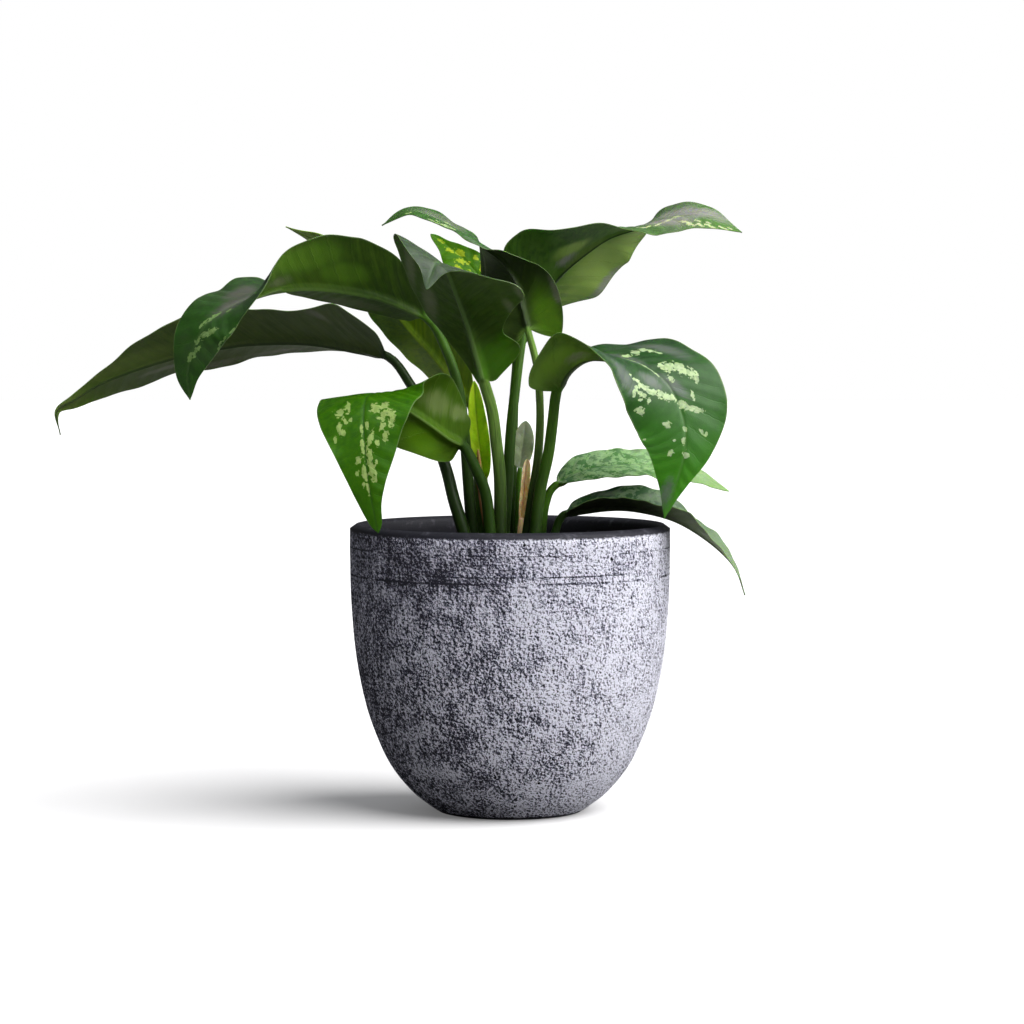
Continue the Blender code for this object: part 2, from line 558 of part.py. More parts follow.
def main():
    clear_scene()
    add_pot()
    feet = []
    for name, leaf in LEAVES.items():
        add_leaf(name, leaf)
        feet.append((*foot_line(leaf), leaf["thick"][0]))
    add_soil(feet)


main()
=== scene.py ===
import math

import bpy
import numpy as np
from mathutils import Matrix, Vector, noise


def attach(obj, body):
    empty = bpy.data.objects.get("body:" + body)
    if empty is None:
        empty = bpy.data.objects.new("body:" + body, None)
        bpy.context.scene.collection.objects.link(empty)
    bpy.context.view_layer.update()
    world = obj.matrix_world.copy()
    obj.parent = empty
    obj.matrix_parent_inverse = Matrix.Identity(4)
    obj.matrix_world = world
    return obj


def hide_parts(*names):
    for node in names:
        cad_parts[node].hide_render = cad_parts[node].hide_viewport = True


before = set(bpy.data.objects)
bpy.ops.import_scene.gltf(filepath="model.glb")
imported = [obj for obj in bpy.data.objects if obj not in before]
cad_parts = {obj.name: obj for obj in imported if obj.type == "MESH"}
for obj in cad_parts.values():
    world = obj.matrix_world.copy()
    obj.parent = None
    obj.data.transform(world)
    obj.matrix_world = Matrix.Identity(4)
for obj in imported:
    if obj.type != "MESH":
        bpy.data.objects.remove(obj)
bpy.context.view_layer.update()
mm = 0.001
black = (0.0, 0.0, 0.0)


class Wire:
    # one output of a node, so that node maths reads as a plain expression
    def __init__(self, board, socket):
        self.board = board
        self.socket = socket

    def maths(self, operation, *others):
        return self.board.maths(operation, self, *others)

    def __add__(self, other):
        return self.maths("ADD", other)

    __radd__ = __add__

    def __sub__(self, other):
        return self.maths("SUBTRACT", other)

    def __rsub__(self, other):
        return self.board.maths("SUBTRACT", other, self)

    def __mul__(self, other):
        return self.maths("MULTIPLY", other)

    __rmul__ = __mul__

    def __rtruediv__(self, other):
        return self.board.maths("DIVIDE", other, self)

    def __abs__(self):
        return self.maths("ABSOLUTE")

    def most(self, other):
        return self.maths("MAXIMUM", other)

    def step(self, low, high):  # 0 below low, 1 above high, smooth between
        sockets = {"Value": self, "From Min": low, "From Max": high}
        return self.board.add("ShaderNodeMapRange", {"interpolation_type": "SMOOTHSTEP"}, sockets)


class Board:
    # a node tree being wired: every node in this file but a tree's two ends comes from add
    def __init__(self, tree):
        self.tree = tree

    def add(self, kind, settings=None, sockets=None, out=0):
        node = self.tree.nodes.new(kind)
        for name, value in (settings or {}).items():
            setattr(node, name, value)
        for name, value in (sockets or {}).items():
            if isinstance(value, (Wire, list)):
                for wire in value if isinstance(value, list) else [value]:
                    self.plug(node, {name: wire})
            else:
                node.inputs[name].default_value = value
        return Wire(self, node.outputs[out])

    def plug(self, node, wires):
        for name, wire in wires.items():
            self.tree.links.new(wire.socket, node.inputs[name])

    def maths(self, operation, *values):
        return self.add("ShaderNodeMath", {"operation": operation}, dict(enumerate(values)))

    def vectorMaths(self, operation, first, second, out=0):
        return self.add("ShaderNodeVectorMath", {"operation": operation}, {0: first, 1: second}, out)

    def scaled(self, vector, amount):
        return self.add("ShaderNodeVectorMath", {"operation": "SCALE"}, {0: vector, "Scale": amount})

    def vector(self, x, y, z):
        return self.add("ShaderNodeCombineXYZ", {}, {0: x, 1: y, 2: z})

    def parts(self, vector):  # the three numbers of a vector
        node = self.add("ShaderNodeSeparateXYZ", {}, {0: vector}).socket.node
        return [Wire(self, output) for output in node.outputs]

    def blend(self, share, first, second):  # a colour from first to second
        first, second = (tone if isinstance(tone, Wire) else (*tone, 1.0) for tone in (first, second))
        return self.add("ShaderNodeMix", {"data_type": "RGBA"}, {0: share, 6: first, 7: second}, 2)

    def over(self, tone, *layers):  # lays colours over a tone one after another, each with its share
        for share, colour in layers:
            tone = self.blend(share, tone, colour)
        return tone

    def noise(self, vector, scale=1.0, detail=2.0, rough=0.5, twist=0.0):
        sockets = {"Vector": vector, "Scale": scale, "Detail": detail, "Roughness": rough}
        return self.add("ShaderNodeTexNoise", {}, {**sockets, "Distortion": twist})

    def attribute(self, name):
        return self.parts(self.add("ShaderNodeAttribute", {"attribute_name": name}, {}, 1))

    def place(self):  # where on the object a point is, in metres
        return self.add("ShaderNodeTexCoord", {}, {}, 3)


def newMaterial(name, **constants):
    material = bpy.data.materials.new(name)
    material.use_nodes = True
    shader = material.node_tree.nodes["Principled BSDF"]
    for label, value in constants.items():
        shader.inputs[label.replace("_", " ")].default_value = value
    return material, Board(material.node_tree), shader


def feed(board, shader, colour, roughness, height, depth):
    # links what varies over the surface; height is in millimetres
    bump = board.add("ShaderNodeBump", {}, {"Strength": 1.0, "Distance": depth * mm, "Height": height})
    board.plug(shader, {"Base Color": colour, "Roughness": roughness, "Normal": bump})


def newObject(name, data):
    obj = bpy.data.objects.new(name, data)
    bpy.context.scene.collection.objects.link(obj)
    return obj


# Stage: a pale floor and a soft key light from the right, before white

camera = {
    "place": (0.0, -1650.0, 242.5),
    "aim": (1.0, 0.0, 149.8),
    "lens": 116.2,
    "sensor": 36.0,
    "nearest": 50.0,
}
keyLight = {
    "from": (900.0, -420.0, 980.0),
    "spread": 74.0,  # degrees across, so that shadows are soft
    "strength": 7.7,
    "tone": (1.0, 0.99, 0.99),
}
surround = {
    "left": (0.045, 0.045, 0.05),
    "right": (0.30, 0.30, 0.31),
    "above": (0.42, 0.43, 0.45),
    "seen": (1.0, 1.0, 1.0),
}
floor = {
    "reach": 9000.0,
    "pale": (0.58, 0.58, 0.58),
    "fleck": (0.63, 0.63, 0.63),
    "bounce": (0.22, 0.22, 0.22),  # what it throws back at the plant
    "lift": (0.12, 0.12, 0.12),
    "roughness": 0.9,
}


def lookAt(obj, place, aim):
    obj.location = Vector(place) * mm
    obj.rotation_euler = (Vector(aim) - Vector(place)).to_track_quat("-Z", "Y").to_euler()


def makeCamera():
    data = bpy.data.cameras.new("camera")
    data.lens = camera["lens"]
    data.sensor_width = camera["sensor"]
    data.clip_start = camera["nearest"] * mm
    obj = newObject("camera", data)
    lookAt(obj, camera["place"], camera["aim"])
    bpy.context.scene.camera = obj


def makeKeyLight():
    data = bpy.data.lights.new("key", "SUN")
    data.angle = math.radians(keyLight["spread"])
    data.energy = keyLight["strength"]
    data.color = keyLight["tone"]
    lookAt(newObject("key", data), keyLight["from"], (0, 0, 0))


def makeSurround():
    # white where the camera looks; as light, dim to the left and brighter to the right and above
    world = bpy.data.worlds.new("surround")
    world.use_nodes = True
    bpy.context.scene.world = world
    board = Board(world.node_tree)
    x, _, z = board.parts(board.add("ShaderNodeTexCoord"))
    tone = board.over(board.blend(x.step(-0.6, 1.0), surround["left"], surround["right"]),
                      (z.step(0.1, 1.0), surround["above"]),
                      (board.add("ShaderNodeLightPath"), surround["seen"]))
    board.plug(world.node_tree.nodes["Background"], {"Color": tone})


def makeFloor():
    mesh = bpy.data.meshes.new("floor")
    reach = floor["reach"] * mm
    corners = [(-reach, -reach, 0), (reach, -reach, 0), (reach, reach, 0), (-reach, reach, 0)]
    mesh.from_pydata(corners, [], [(0, 1, 2, 3)])
    material, board, shader = newMaterial("pale_floor", Emission_Strength=1.0, Specular_IOR_Level=0.0,
                                          Roughness=floor["roughness"])
    grain = board.blend(board.noise(board.place(), 3.0), floor["pale"], floor["fleck"])
    seen = board.add("ShaderNodeLightPath")
    board.plug(shader, {"Base Color": board.blend(seen, floor["bounce"], grain),
                        "Emission Color": board.blend(seen, black, floor["lift"])})
    mesh.materials.append(material)
    newObject("floor", mesh)


bpy.context.scene.view_settings.view_transform = "Standard"
makeCamera()
makeKeyLight()
makeSurround()
makeFloor()
print("stage: camera, key light, surround and floor")


def finishPiece(obj, node, slot):
    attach(obj, "root")
    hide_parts(node)


def smoothCurve(rows, samples):
    # Catmull-Rom curve through the rows, the same number of samples on every span
    rows = np.asarray(rows, float)
    padded = np.vstack([2 * rows[0] - rows[1], rows, 2 * rows[-1] - rows[-2]])
    part = (np.arange(samples) / samples)[:, None]
    spans = []
    for before, start, end, after in zip(padded, padded[1:], padded[2:], padded[3:]):
        leave = (end - before) / 2
        arrive = (after - start) / 2
        cubic = 2 * (start - end) + leave + arrive
        square = 3 * (end - start) - 2 * leave - arrive
        spans.append(((cubic * part + square) * part + leave) * part + start)
    return np.vstack([*spans, rows[-1:]])


def unit(vectors):
    return vectors / np.linalg.norm(vectors, axis=-1, keepdims=True)


def openTree(name, output, inputs):
    # a Geometry Nodes tree with these named inputs and one geometry output
    tree = bpy.data.node_groups.new(name, "GeometryNodeTree")
    for label, kind in inputs.items():
        tree.interface.new_socket(label, in_out="INPUT", socket_type="NodeSocket" + kind)
    tree.interface.new_socket(output, in_out="OUTPUT", socket_type="NodeSocketGeometry")
    board = Board(tree)
    entry = tree.nodes.new("NodeGroupInput")
    return board, {socket.name: Wire(board, socket) for socket in entry.outputs if socket.name}


def closeTree(board, body, material):
    body = board.add("GeometryNodeSetMaterial", {}, {"Geometry": body, "Material": material})
    board.plug(board.tree.nodes.new("NodeGroupOutput"), {0: body})
    return board.tree


def growMesh(name, tree, values, start=None):
    # runs a Geometry Nodes tree with these named inputs and keeps the result as a plain mesh
    carrier = newObject(name + "Carrier", start or bpy.data.meshes.new(name + "Carrier"))
    modifier = carrier.modifiers.new("grow", "NODES")
    modifier.node_group = tree
    for item in tree.interface.items_tree:
        if item.in_out == "INPUT" and item.name in values:
            modifier[item.identifier] = values[item.name]
    carrier.update_tag()
    graph = bpy.context.evaluated_depsgraph_get()
    mesh = bpy.data.meshes.new_from_object(carrier.evaluated_get(graph), depsgraph=graph)
    carrier.modifiers.remove(modifier)
    bpy.data.objects.remove(carrier)
    mesh.name = name
    return newObject(name, mesh)


# Pot: a wall turned about Z, with pores and turning marks, by Geometry Nodes

pot = {
    "wall": [(38.8, 2.0), (49.5, 10.5), (60.2, 24.0), (68.0, 41.0),
             (73.2, 58.0), (77.2, 80.0), (79.4, 106.0), (80.0, 130.0)],
    "wallSamples": 12,
    "height": 144.0,
    "footRadius": 35.5,
    "wallThickness": 5.5,
    "floorThickness": 8.0,
    "floorCorner": (6.0, 3.0),
    "rimRounding": 2.2,
    "segments": 420,
    "rows": 190,
    "poreDepth": 0.5,
    "poreSpacing": 7.0,
    "grainDepth": 0.22,
    "bump": 0.55,
    "washLevel": 0.59,  # more is whiter
    "spotDarkness": 0.40,
    "scoreDepth": 0.9,
    "dark": (0.020, 0.020, 0.031),
    "grey": (0.19, 0.19, 0.275),
    "wash": (0.89, 0.89, 1.0),
    "pitShade": (0.004, 0.004, 0.006),
    "inside": (0.012, 0.012, 0.017),
    "smudge": (0.05, 0.05, 0.062),
    "darkerSpots": [  # where a darker spot's middle is, and how far it reaches
        (-48, -62, 126, 34), (-16, -78, 128, 30), (24, -58, 34, 26), (2, -70, 54, 16), (-30, -60, 40, 22),
    ],
    "scored": [(119.5, 0.8), (122.8, 0.5), (133.0, 0.5)],  # height and width of a scored ring
}


def potWall(behind):
    # the outside of the wall, and a line that far behind its inner face
    outer = smoothCurve(pot["wall"], pot["wallSamples"])
    along = unit(np.gradient(outer, axis=0))
    inward = np.stack([-along[:, 1], along[:, 0]], axis=1)
    return outer, outer + (pot["wallThickness"] + behind) * inward


def potProfile():
    # from the middle of the foot up the outside, over the rim and down inside to the floor
    outer, inner = potWall(0.0)
    inner = inner[inner[:, 1] > pot["floorThickness"] + pot["floorCorner"][1]]
    corner = pot["rimRounding"]
    rim = pot["wall"][-1][0]
    points = [(0.0, 0.0), (pot["footRadius"], 0.0), *map(tuple, outer)]
    for centre, quarter in ((rim - corner, 0), (rim - pot["wallThickness"] + corner, 90)):
        for step in range(0, 91, 15):
            angle = math.radians(quarter + step)
            height = pot["height"] - corner + corner * math.sin(angle)
            points.append((centre + corner * math.cos(angle), height))
    points += map(tuple, inner[::-1])
    points += [(inner[0][0] - pot["floorCorner"][0], pot["floorThickness"]), (0.0, pot["floorThickness"])]
    return points


def profileCurve(points):
    data = bpy.data.curves.new("potProfile", "CURVE")
    data.dimensions = "3D"
    spline = data.splines.new("POLY")
    spline.points.add(len(points) - 1)
    for point, (radius, height) in zip(spline.points, points):
        point.co = (radius * mm, 0.0, height * mm, 1.0)
    return newObject("potProfile", data)


def pores(board, place, spacing):
    # 1 in the middle of a pore and 0 outside; place is in millimetres
    sockets = {"Vector": place, "Scale": 1.0 / spacing, "Randomness": 1.0}
    near = board.add("ShaderNodeTexVoronoi", {}, sockets)
    chance = Wire(board, near.socket.node.outputs["Color"])
    width = board.parts(chance)[0].step(0.72, 1.0) * 0.13 + 0.005
    ragged = board.noise(place, 0.9, 3.0) * 0.16
    return 1.0 - (near + ragged - width).step(0.04, 0.09)


def potTree():
    board, given = openTree("turned cement pot", "Pot", {
        "Profile": "Object", "Segments": "Int", "Rows": "Int", "Pore depth": "Float",
        "Pore spacing": "Float", "Grain depth": "Float", "Material": "Material"})
    sockets = {"Size X": 1.0, "Size Y": 1.0, "Vertices X": given["Segments"] + 1, "Vertices Y": given["Rows"]}
    grid = board.add("GeometryNodeMeshGrid", {}, sockets)
    place = board.add("GeometryNodeInputPosition")
    u, v, _ = board.parts(place)
    along = v + 0.5
    share = (along * 0.64).most(along * 2.09 - 1.09)  # most rows go to the outside
    curve = board.add("GeometryNodeObjectInfo", {}, {"Object": given["Profile"]}, 4)
    sampled = board.add("GeometryNodeSampleCurve", {"mode": "FACTOR"}, {"Curves": curve, "Factor": share}, 1)
    radius, _, height = board.parts(sampled)
    turn = (u + 0.5) * (2 * math.pi)
    turned = board.vector(radius * turn.maths("COSINE"), radius * turn.maths("SINE"), height)
    body = board.add("GeometryNodeSetPosition", {}, {"Geometry": grid, "Position": turned})
    body = board.add("GeometryNodeMergeByDistance", {}, {"Geometry": body, "Distance": 0.004 * mm})

    inMm = board.scaled(place, 1.0 / mm)
    x, y, z = board.parts(inMm)
    around = (x * x + y * y).maths("SQRT")
    foot, top = pot["footRadius"], pot["height"]
    outside = around.step(foot - 1.5, foot + 1.5) * (1.0 - z.step(top - 5.0, top - 3.0)) * z.step(0.5, 3.0)
    normal = board.add("GeometryNodeInputNormal")
    outside = outside * board.vectorMaths("DOT_PRODUCT", normal, inMm, 1).step(0.0, 1.0)
    hollow = pores(board, inMm, given["Pore spacing"]) * given["Pore depth"]
    grain = (board.noise(inMm, 0.45, 4.0, 0.7) - 0.5) * given["Grain depth"] * 2.0
    marks = (board.noise(board.vector(0.0, 0.0, z), 0.8, 3.0) - 0.5) * 0.12
    offset = board.scaled(normal, (grain + marks - hollow) * outside * mm)
    body = board.add("GeometryNodeSetPosition", {}, {"Geometry": body, "Offset": offset})
    body = board.add("GeometryNodeSetShadeSmooth", {}, {"Geometry": body})
    body = board.add("GeometryNodeRealizeInstances", {}, {"Geometry": body})
    return closeTree(board, body, given["Material"])


def cementMaterial():
    # lime wash over dark cement, crisper low down and darker in spots; painted light makes it lighter to the
    # right and darker to the left, where the key light falls and fades; the rim, the foot's edge and the
    # inside are bare
    material, board, shader = newMaterial("lime_washed_cement", Specular_IOR_Level=0.15)
    inMm = board.scaled(board.place(), 1.0 / mm)
    x, y, z = board.parts(inMm)
    squat = board.vectorMaths("MULTIPLY", inMm, (1.0, 1.0, 0.8))
    towardLight = board.vectorMaths("ADD", inMm, (0.55, 0.0, 0.40))
    cover = board.noise(inMm, 0.03, 2.0, 0.6) - 0.5
    cloud = board.noise(inMm, 0.10, 3.0, 0.6) - 0.5
    chips = board.noise(squat, 0.62, 4.0, 0.75, 1.3) - 0.5
    fine = board.noise(inMm, 1.25, 3.0, 0.65) - 0.5
    streak = board.noise(board.vector(x, y, z * 0.12), 0.55, 2.0, 0.6) - 0.5
    lines = board.noise(board.vector(x * 0.03, y * 0.03, z), 0.9, 3.0, 0.75) - 0.5
    # painted light and shade: each flake lighter on the side toward the key light and darker on the other
    flakeShading = board.noise(inMm, 0.70, 3.0, 0.6) - board.noise(towardLight, 0.70, 3.0, 0.6)
    turned = z.step(84.0, 112.0) * 1.2 + 0.3
    amount = chips * 3.8 + fine * 2.8 + flakeShading * 3.8 + streak * 1.6
    # x * 0.0057 is painted light: lighter to the right and darker to the left, as the key light falls
    amount = amount + cloud * 1.5 + cover * 0.8 + lines * turned + x * 0.0057
    amount = amount * (1.25 - z.step(50.0, 130.0) * 0.60) + pot["washLevel"]
    for *middle, reach in pot["darkerSpots"]:
        away = board.vectorMaths("DISTANCE", inMm, tuple(middle), 1)
        amount = amount - (1.0 - (away + cloud * 30.0).step(0.0, reach)) * pot["spotDarkness"]
    for height, width in pot["scored"]:
        broken = board.noise(board.vector(x * 0.05, y * 0.05, height), 1.0, 2.0).step(0.42, 0.52)
        cut = 1.0 - abs(z + fine * 1.4 - height).step(0.0, width)
        amount = amount - cut * broken * pot["scoreDepth"]
    # brushed ridges of wash
    threads = 1.0 - abs(board.noise(squat, 0.60, 3.0, 0.7) - 0.5).step(0.0, 0.025)
    strokes = 1.0 - abs(board.noise(inMm, 1.15, 2.0, 0.6) - 0.5).step(0.0, 0.03)
    ridges = threads.most(strokes) * (amount + flakeShading * 2.0).step(0.0, 0.60)
    hollow = pores(board, inMm, pot["poreSpacing"])
    small = board.noise(inMm, 1.5, 2.0).step(0.66, 0.72)
    ragged = board.noise(inMm, 0.5, 3.0) * 2.0
    rim = (z + ragged).step(pot["height"] - 3.0, pot["height"] - 1.6)
    base = 1.0 - (z - ragged).step(0.2, 1.2)
    inner = (1.0 - (x * x + y * y).maths("SQRT").step(77.2, 77.8)) * z.step(100.0, 101.0)
    bare = rim.most(base).most(inner)
    smudge = board.noise(inMm, 0.2, 4.0, 0.65).step(0.55, 0.75)

    tone = board.blend(amount.step(0.0, 0.48), pot["dark"], pot["grey"])
    tone = board.over(tone, (amount.step(0.46, 0.94), pot["wash"]), (ridges, pot["wash"]))
    # painted shade in recesses: the relief's deepest hollows are painted dark cement, and pores and small
    # pits near black
    tone = board.blend((chips + fine * 0.8 + flakeShading * 0.8).step(-0.22, -0.06), pot["dark"], tone)
    smooth = board.blend(smudge, pot["inside"], pot["smudge"])
    tone = board.over(tone, (hollow.most(small * 0.75), pot["pitShade"]), (bare, smooth))
    relief = chips * 2.6 + fine * 2.6 + ridges * 0.5
    height = (relief - hollow * 2.0 - small) * (1.0 - bare * 0.93)
    feed(board, shader, tone, 0.88 - bare * 0.30 + fine * 0.2, height, pot["bump"])
    return material


def makePot():
    profile = profileCurve(potProfile())
    values = {
        "Profile": profile, "Segments": pot["segments"], "Rows": pot["rows"], "Pore depth": pot["poreDepth"],
        "Pore spacing": pot["poreSpacing"], "Grain depth": pot["grainDepth"], "Material": cementMaterial(),
    }
    obj = growMesh("limeWashedPot", potTree(), values)
    bpy.data.objects.remove(profile)
    finishPiece(obj, "pot", "lime_washed_cement")
    print("pot:", len(obj.data.polygons), "faces")


makePot()


# Soil: a lumpy body in the pot and loose crumbs on it, strewn by Geometry Nodes

soil = {
    "top": 128.5,
    "dome": 2.0,
    "lump": 1.6,
    "bottom": 20.0,
    "wallGap": 0.4,
    "rings": 60,
    "turns": 120,
    "crumbs": 2400,
    "crumbReach": 70.0,
    "smallest": 0.5,
    "largest": 2.6,
    "seed": 4,
    "bump": 0.8,
    "dark": (0.010, 0.008, 0.006),
    "brown": (0.055, 0.036, 0.022),
    "crumb": (0.10, 0.066, 0.042),
    "stone": (0.36, 0.35, 0.33),
}


def soilBody():
    # from the middle of the top out to the wall, down along it and in to the middle of the bottom
    _, inner = potWall(soil["wallGap"])
    edge = float(np.interp(soil["top"], inner[:, 1], inner[:, 0]))
    below = [row for row in inner[::-1] if soil["bottom"] < row[1] < soil["top"] - 3]
    rows = [(edge * (ring / soil["rings"]), soil["top"]) for ring in range(1, soil["rings"] + 1)]
    rows += map(tuple, below)
    turns = soil["turns"]
    points = [(0.0, 0.0, soil["top"])]
    for radius, height in rows:
        for turn in np.linspace(0.0, 2 * math.pi, turns, endpoint=False):
            points.append((radius * math.cos(turn), radius * math.sin(turn), height))
    points.append((0.0, 0.0, below[-1][1]))
    points = np.array(points)
    for point in points[:1 + soil["rings"] * turns]:
        spot = Vector(point)
        lumps = noise.noise(spot * 0.11) + 0.6 * noise.noise(spot * 0.31) + 0.3 * noise.noise(spot * 0.9)
        point[2] += soil["dome"] * (1 - (np.hypot(*point[:2]) / edge) ** 2) + soil["lump"] * lumps
    last = len(points) - 1
    pairs = [(k, (k + 1) % turns) for k in range(turns)]
    faces = [(0, 1 + k, 1 + after) for k, after in pairs]
    for first in range(1, last - turns, turns):
        faces += [(first + k, first + turns + k, first + turns + after, first + after) for k, after in pairs]
    faces += [(last, last - turns + after, last - turns + k) for k, after in pairs]
    mesh = bpy.data.meshes.new("soilBody")
    mesh.from_pydata((points * mm).tolist(), [], faces)
    mesh.polygons.foreach_set("use_smooth", [True] * len(faces))
    return mesh


def chance(board, low, high, seed):
    # a random number between two numbers, or a random vector between two vectors
    kind, first, out = ("FLOAT_VECTOR", 0, 0) if isinstance(low, tuple) else ("FLOAT", 2, 1)
    sockets = {first: low, first + 1: high, 8: seed}
    return board.add("FunctionNodeRandomValue", {"data_type": kind}, sockets, out)


def crumbTree():
    board, given = openTree("strewn crumbs", "Soil", {
        "Soil": "Geometry", "Density": "Float", "Smallest": "Float", "Largest": "Float",
        "Seed": "Int", "Reach": "Float", "Material": "Material"})
    x, y, _ = board.parts(board.add("GeometryNodeInputPosition"))
    _, _, up = board.parts(board.add("GeometryNodeInputNormal"))
    near = (given["Reach"] - (x * x + y * y).maths("SQRT")).maths("GREATER_THAN", 0.0)
    sockets = {"Mesh": given["Soil"], "Selection": near * up.maths("GREATER_THAN", 0.4),
               "Density": given["Density"], "Seed": given["Seed"]}
    points = board.add("GeometryNodeDistributePointsOnFaces", {}, sockets)
    grade = chance(board, 0.0, 1.0, given["Seed"] + 1)
    size = given["Smallest"] + (given["Largest"] - given["Smallest"]) * (grade * grade * grade)
    turn = chance(board, (0.0, 0.0, 0.0), (6.28, 6.28, 6.28), given["Seed"] + 2)
    flat = chance(board, (0.7, 0.7, 0.5), (1.3, 1.1, 1.0), given["Seed"] + 3)
    stone = board.add("GeometryNodeMeshIcoSphere", {}, {"Radius": 0.5, "Subdivisions": 1})
    sockets = {"Points": points, "Instance": stone, "Rotation": turn, "Scale": board.scaled(flat, size)}
    strewn = board.add("GeometryNodeInstanceOnPoints", {}, sockets)
    sockets = {"Geometry": strewn, "Name": "crumb", "Value": chance(board, 0.05, 1.0, given["Seed"] + 4)}
    settings = {"data_type": "FLOAT", "domain": "INSTANCE"}
    strewn = board.add("GeometryNodeStoreNamedAttribute", settings, sockets)
    strewn = board.add("GeometryNodeRealizeInstances", {}, {"Geometry": strewn})
    whole = board.add("GeometryNodeJoinGeometry", {}, {"Geometry": [given["Soil"], strewn]})
    return closeTree(board, whole, given["Material"])


def soilMaterial():
    material, board, shader = newMaterial("potting_soil")
    shade = board.add("ShaderNodeAttribute", {"attribute_name": "crumb"}, {}, 2)
    fibre = board.noise(board.scaled(board.place(), 1.0 / mm), 1.1, 4.0, 0.7)
    tone = board.over(board.blend(fibre.step(0.35, 0.7), soil["dark"], soil["brown"]),
                      (shade.step(0.3, 0.9) * 0.7, soil["crumb"]), (shade.step(0.93, 0.95), soil["stone"]))
    feed(board, shader, tone, fibre * 0.25 + 0.75, fibre, soil["bump"])
    return material


def makeSoil():
    reach = soil["crumbReach"] * mm
    values = {
        "Density": soil["crumbs"] / (math.pi * reach ** 2), "Smallest": soil["smallest"] * mm,
        "Largest": soil["largest"] * mm, "Seed": soil["seed"], "Reach": reach, "Material": soilMaterial(),
    }
    obj = growMesh("crumblySoil", crumbTree(), values, soilBody())
    finishPiece(obj, "potting_soil", "potting_soil")
    print("soil:", len(obj.data.polygons), "faces")


makeSoil()


# Leaves: each petiole and its blade are one closed skin, swept along the leaf's stations.

leafForm = {
    "footBottom": 114.0,
    "bladeThickness": 0.55,
    "marginThickness": 0.36,
    "tipHalfWidth": 0.3,
    "ribDepth": 1.5,
    "ribWidth": 1.5,
    "grooveDepth": 0.25,
    "grooveWidth": 0.9,
    "neckShare": 0.04,
    "lobeShare": 0.25,
    "petioleSteps": 30,
    "spanSamples": 24,
    "marginSamples": 8,
    "veinSpacing": 8.5,
    "veinAngle": 48.0,
    "veinDrift": 0.35,  # side veins aren't evenly spaced
    "quilting": 0.14,
    "ruffle": 0.55,
    "sharpAngle": 60.0,
    "seedStep": 0.37,  # each leaf's pattern starts this much further on
    "bump": 0.5,
}


def columnsAt(places, along, table):
    return np.stack([np.interp(places, along, column) for column in table.T], axis=1)


def ramp(value, width):
    return np.clip(value / width, 0.0, 1.0)


def leafStations(leaf):
    # the foot is carried straight down into the soil; its face turns to the blade's on the way up
    low, high = (np.asarray(point, float) for point in leaf["petiole"][:2])
    direction = unit(high - low)
    foot = low - direction * (low[2] - leafForm["footBottom"]) / direction[2]
    places = [foot, (foot + low) / 2, *leaf["petiole"]]
    outward = np.subtract(leaf["blade"][len(leaf["blade"]) // 2][:2], low[:2])
    innerFace = np.array([*(-unit(outward)), 0.0])
    rows = []
    for index, place in enumerate(places):
        share = index / len(places)
        face = (1 - share) * innerFace + share * np.asarray(leaf["blade"][0][3:6])
        rows.append([*place, *face, *leaf["blade"][0][6:]])
    return rows + [list(station) for station in leaf["blade"]], len(rows)


def outlineWidth(share, across, leaf):
    # the plain outline, times how much wider or narrower each half is along the blade
    half, towardBase, towardTip = leaf["half"]
    top = towardBase / (towardBase + towardTip)
    peak = top ** towardBase * (1 - top) ** towardTip
    inside = ramp(share, 1.0)
    width = half * inside ** towardBase * (1 - inside) ** towardTip / peak
    rows = smoothCurve(leaf["margins"], leafForm["marginSamples"])
    minus, plus = (np.interp(share, rows[:, 0], column) for column in rows.T[1:])
    return np.maximum(width, leafForm["tipHalfWidth"]) * np.where(across < 0, minus, plus)


def spotField(spots, share, across, wide, length):
    # 1 in the middle of a spot, 0 at its edge, down to -1 away from all
    field = np.full(wide.shape, -1.0)
    for at, aside, halfLength, halfWidth, *turn in spots:
        hand, margin = (-1.0, 0) if aside < 0 else (1.0, -1)
        down = (share - at) * length
        outward = (across * wide - aside * np.interp(at, share[:, 0], wide[:, margin])) * hand
        turn = math.radians(sum(turn))  # straight where none is given
        lengthways = down * math.cos(turn) + outward * math.sin(turn)
        crossways = outward * math.cos(turn) - down * math.sin(turn)
        reach = np.sqrt((lengthways / halfLength) ** 2 + (crossways / halfWidth) ** 2)
        field = np.maximum(field, 1.0 - reach)
    return field


def leafPath(leaf):
    # how far along each ring is, where the blade begins and its length, then each ring's station
    # and the way along, sideways and up from it
    rows, baseRow = leafStations(leaf)
    dense = smoothCurve(rows, leafForm["spanSamples"])
    steps = np.linalg.norm(np.diff(dense[:, :3], axis=0), axis=1)
    travelled = np.concatenate([[0.0], np.cumsum(steps)])
    base = travelled[baseRow * leafForm["spanSamples"]]
    length = travelled[-1] - base
    even = np.linspace(0.0, 1.0, leaf["bladeSteps"] + 1)
    spaced = 0.6 * even + 0.2 * (1 - np.cos(math.pi * even))  # closer together at both ends
    onPetiole = np.linspace(0.0, base, leafForm["petioleSteps"], endpoint=False)
    along = np.concatenate([onPetiole, base + length * spaced])
    table = columnsAt(along, travelled, dense)
    tangent = unit(columnsAt(along, travelled, np.gradient(dense[:, :3], axis=0)))
    side = unit(np.cross(tangent, table[:, 3:6]))
    return along, base, length, table, tangent, side, np.cross(side, tangent)


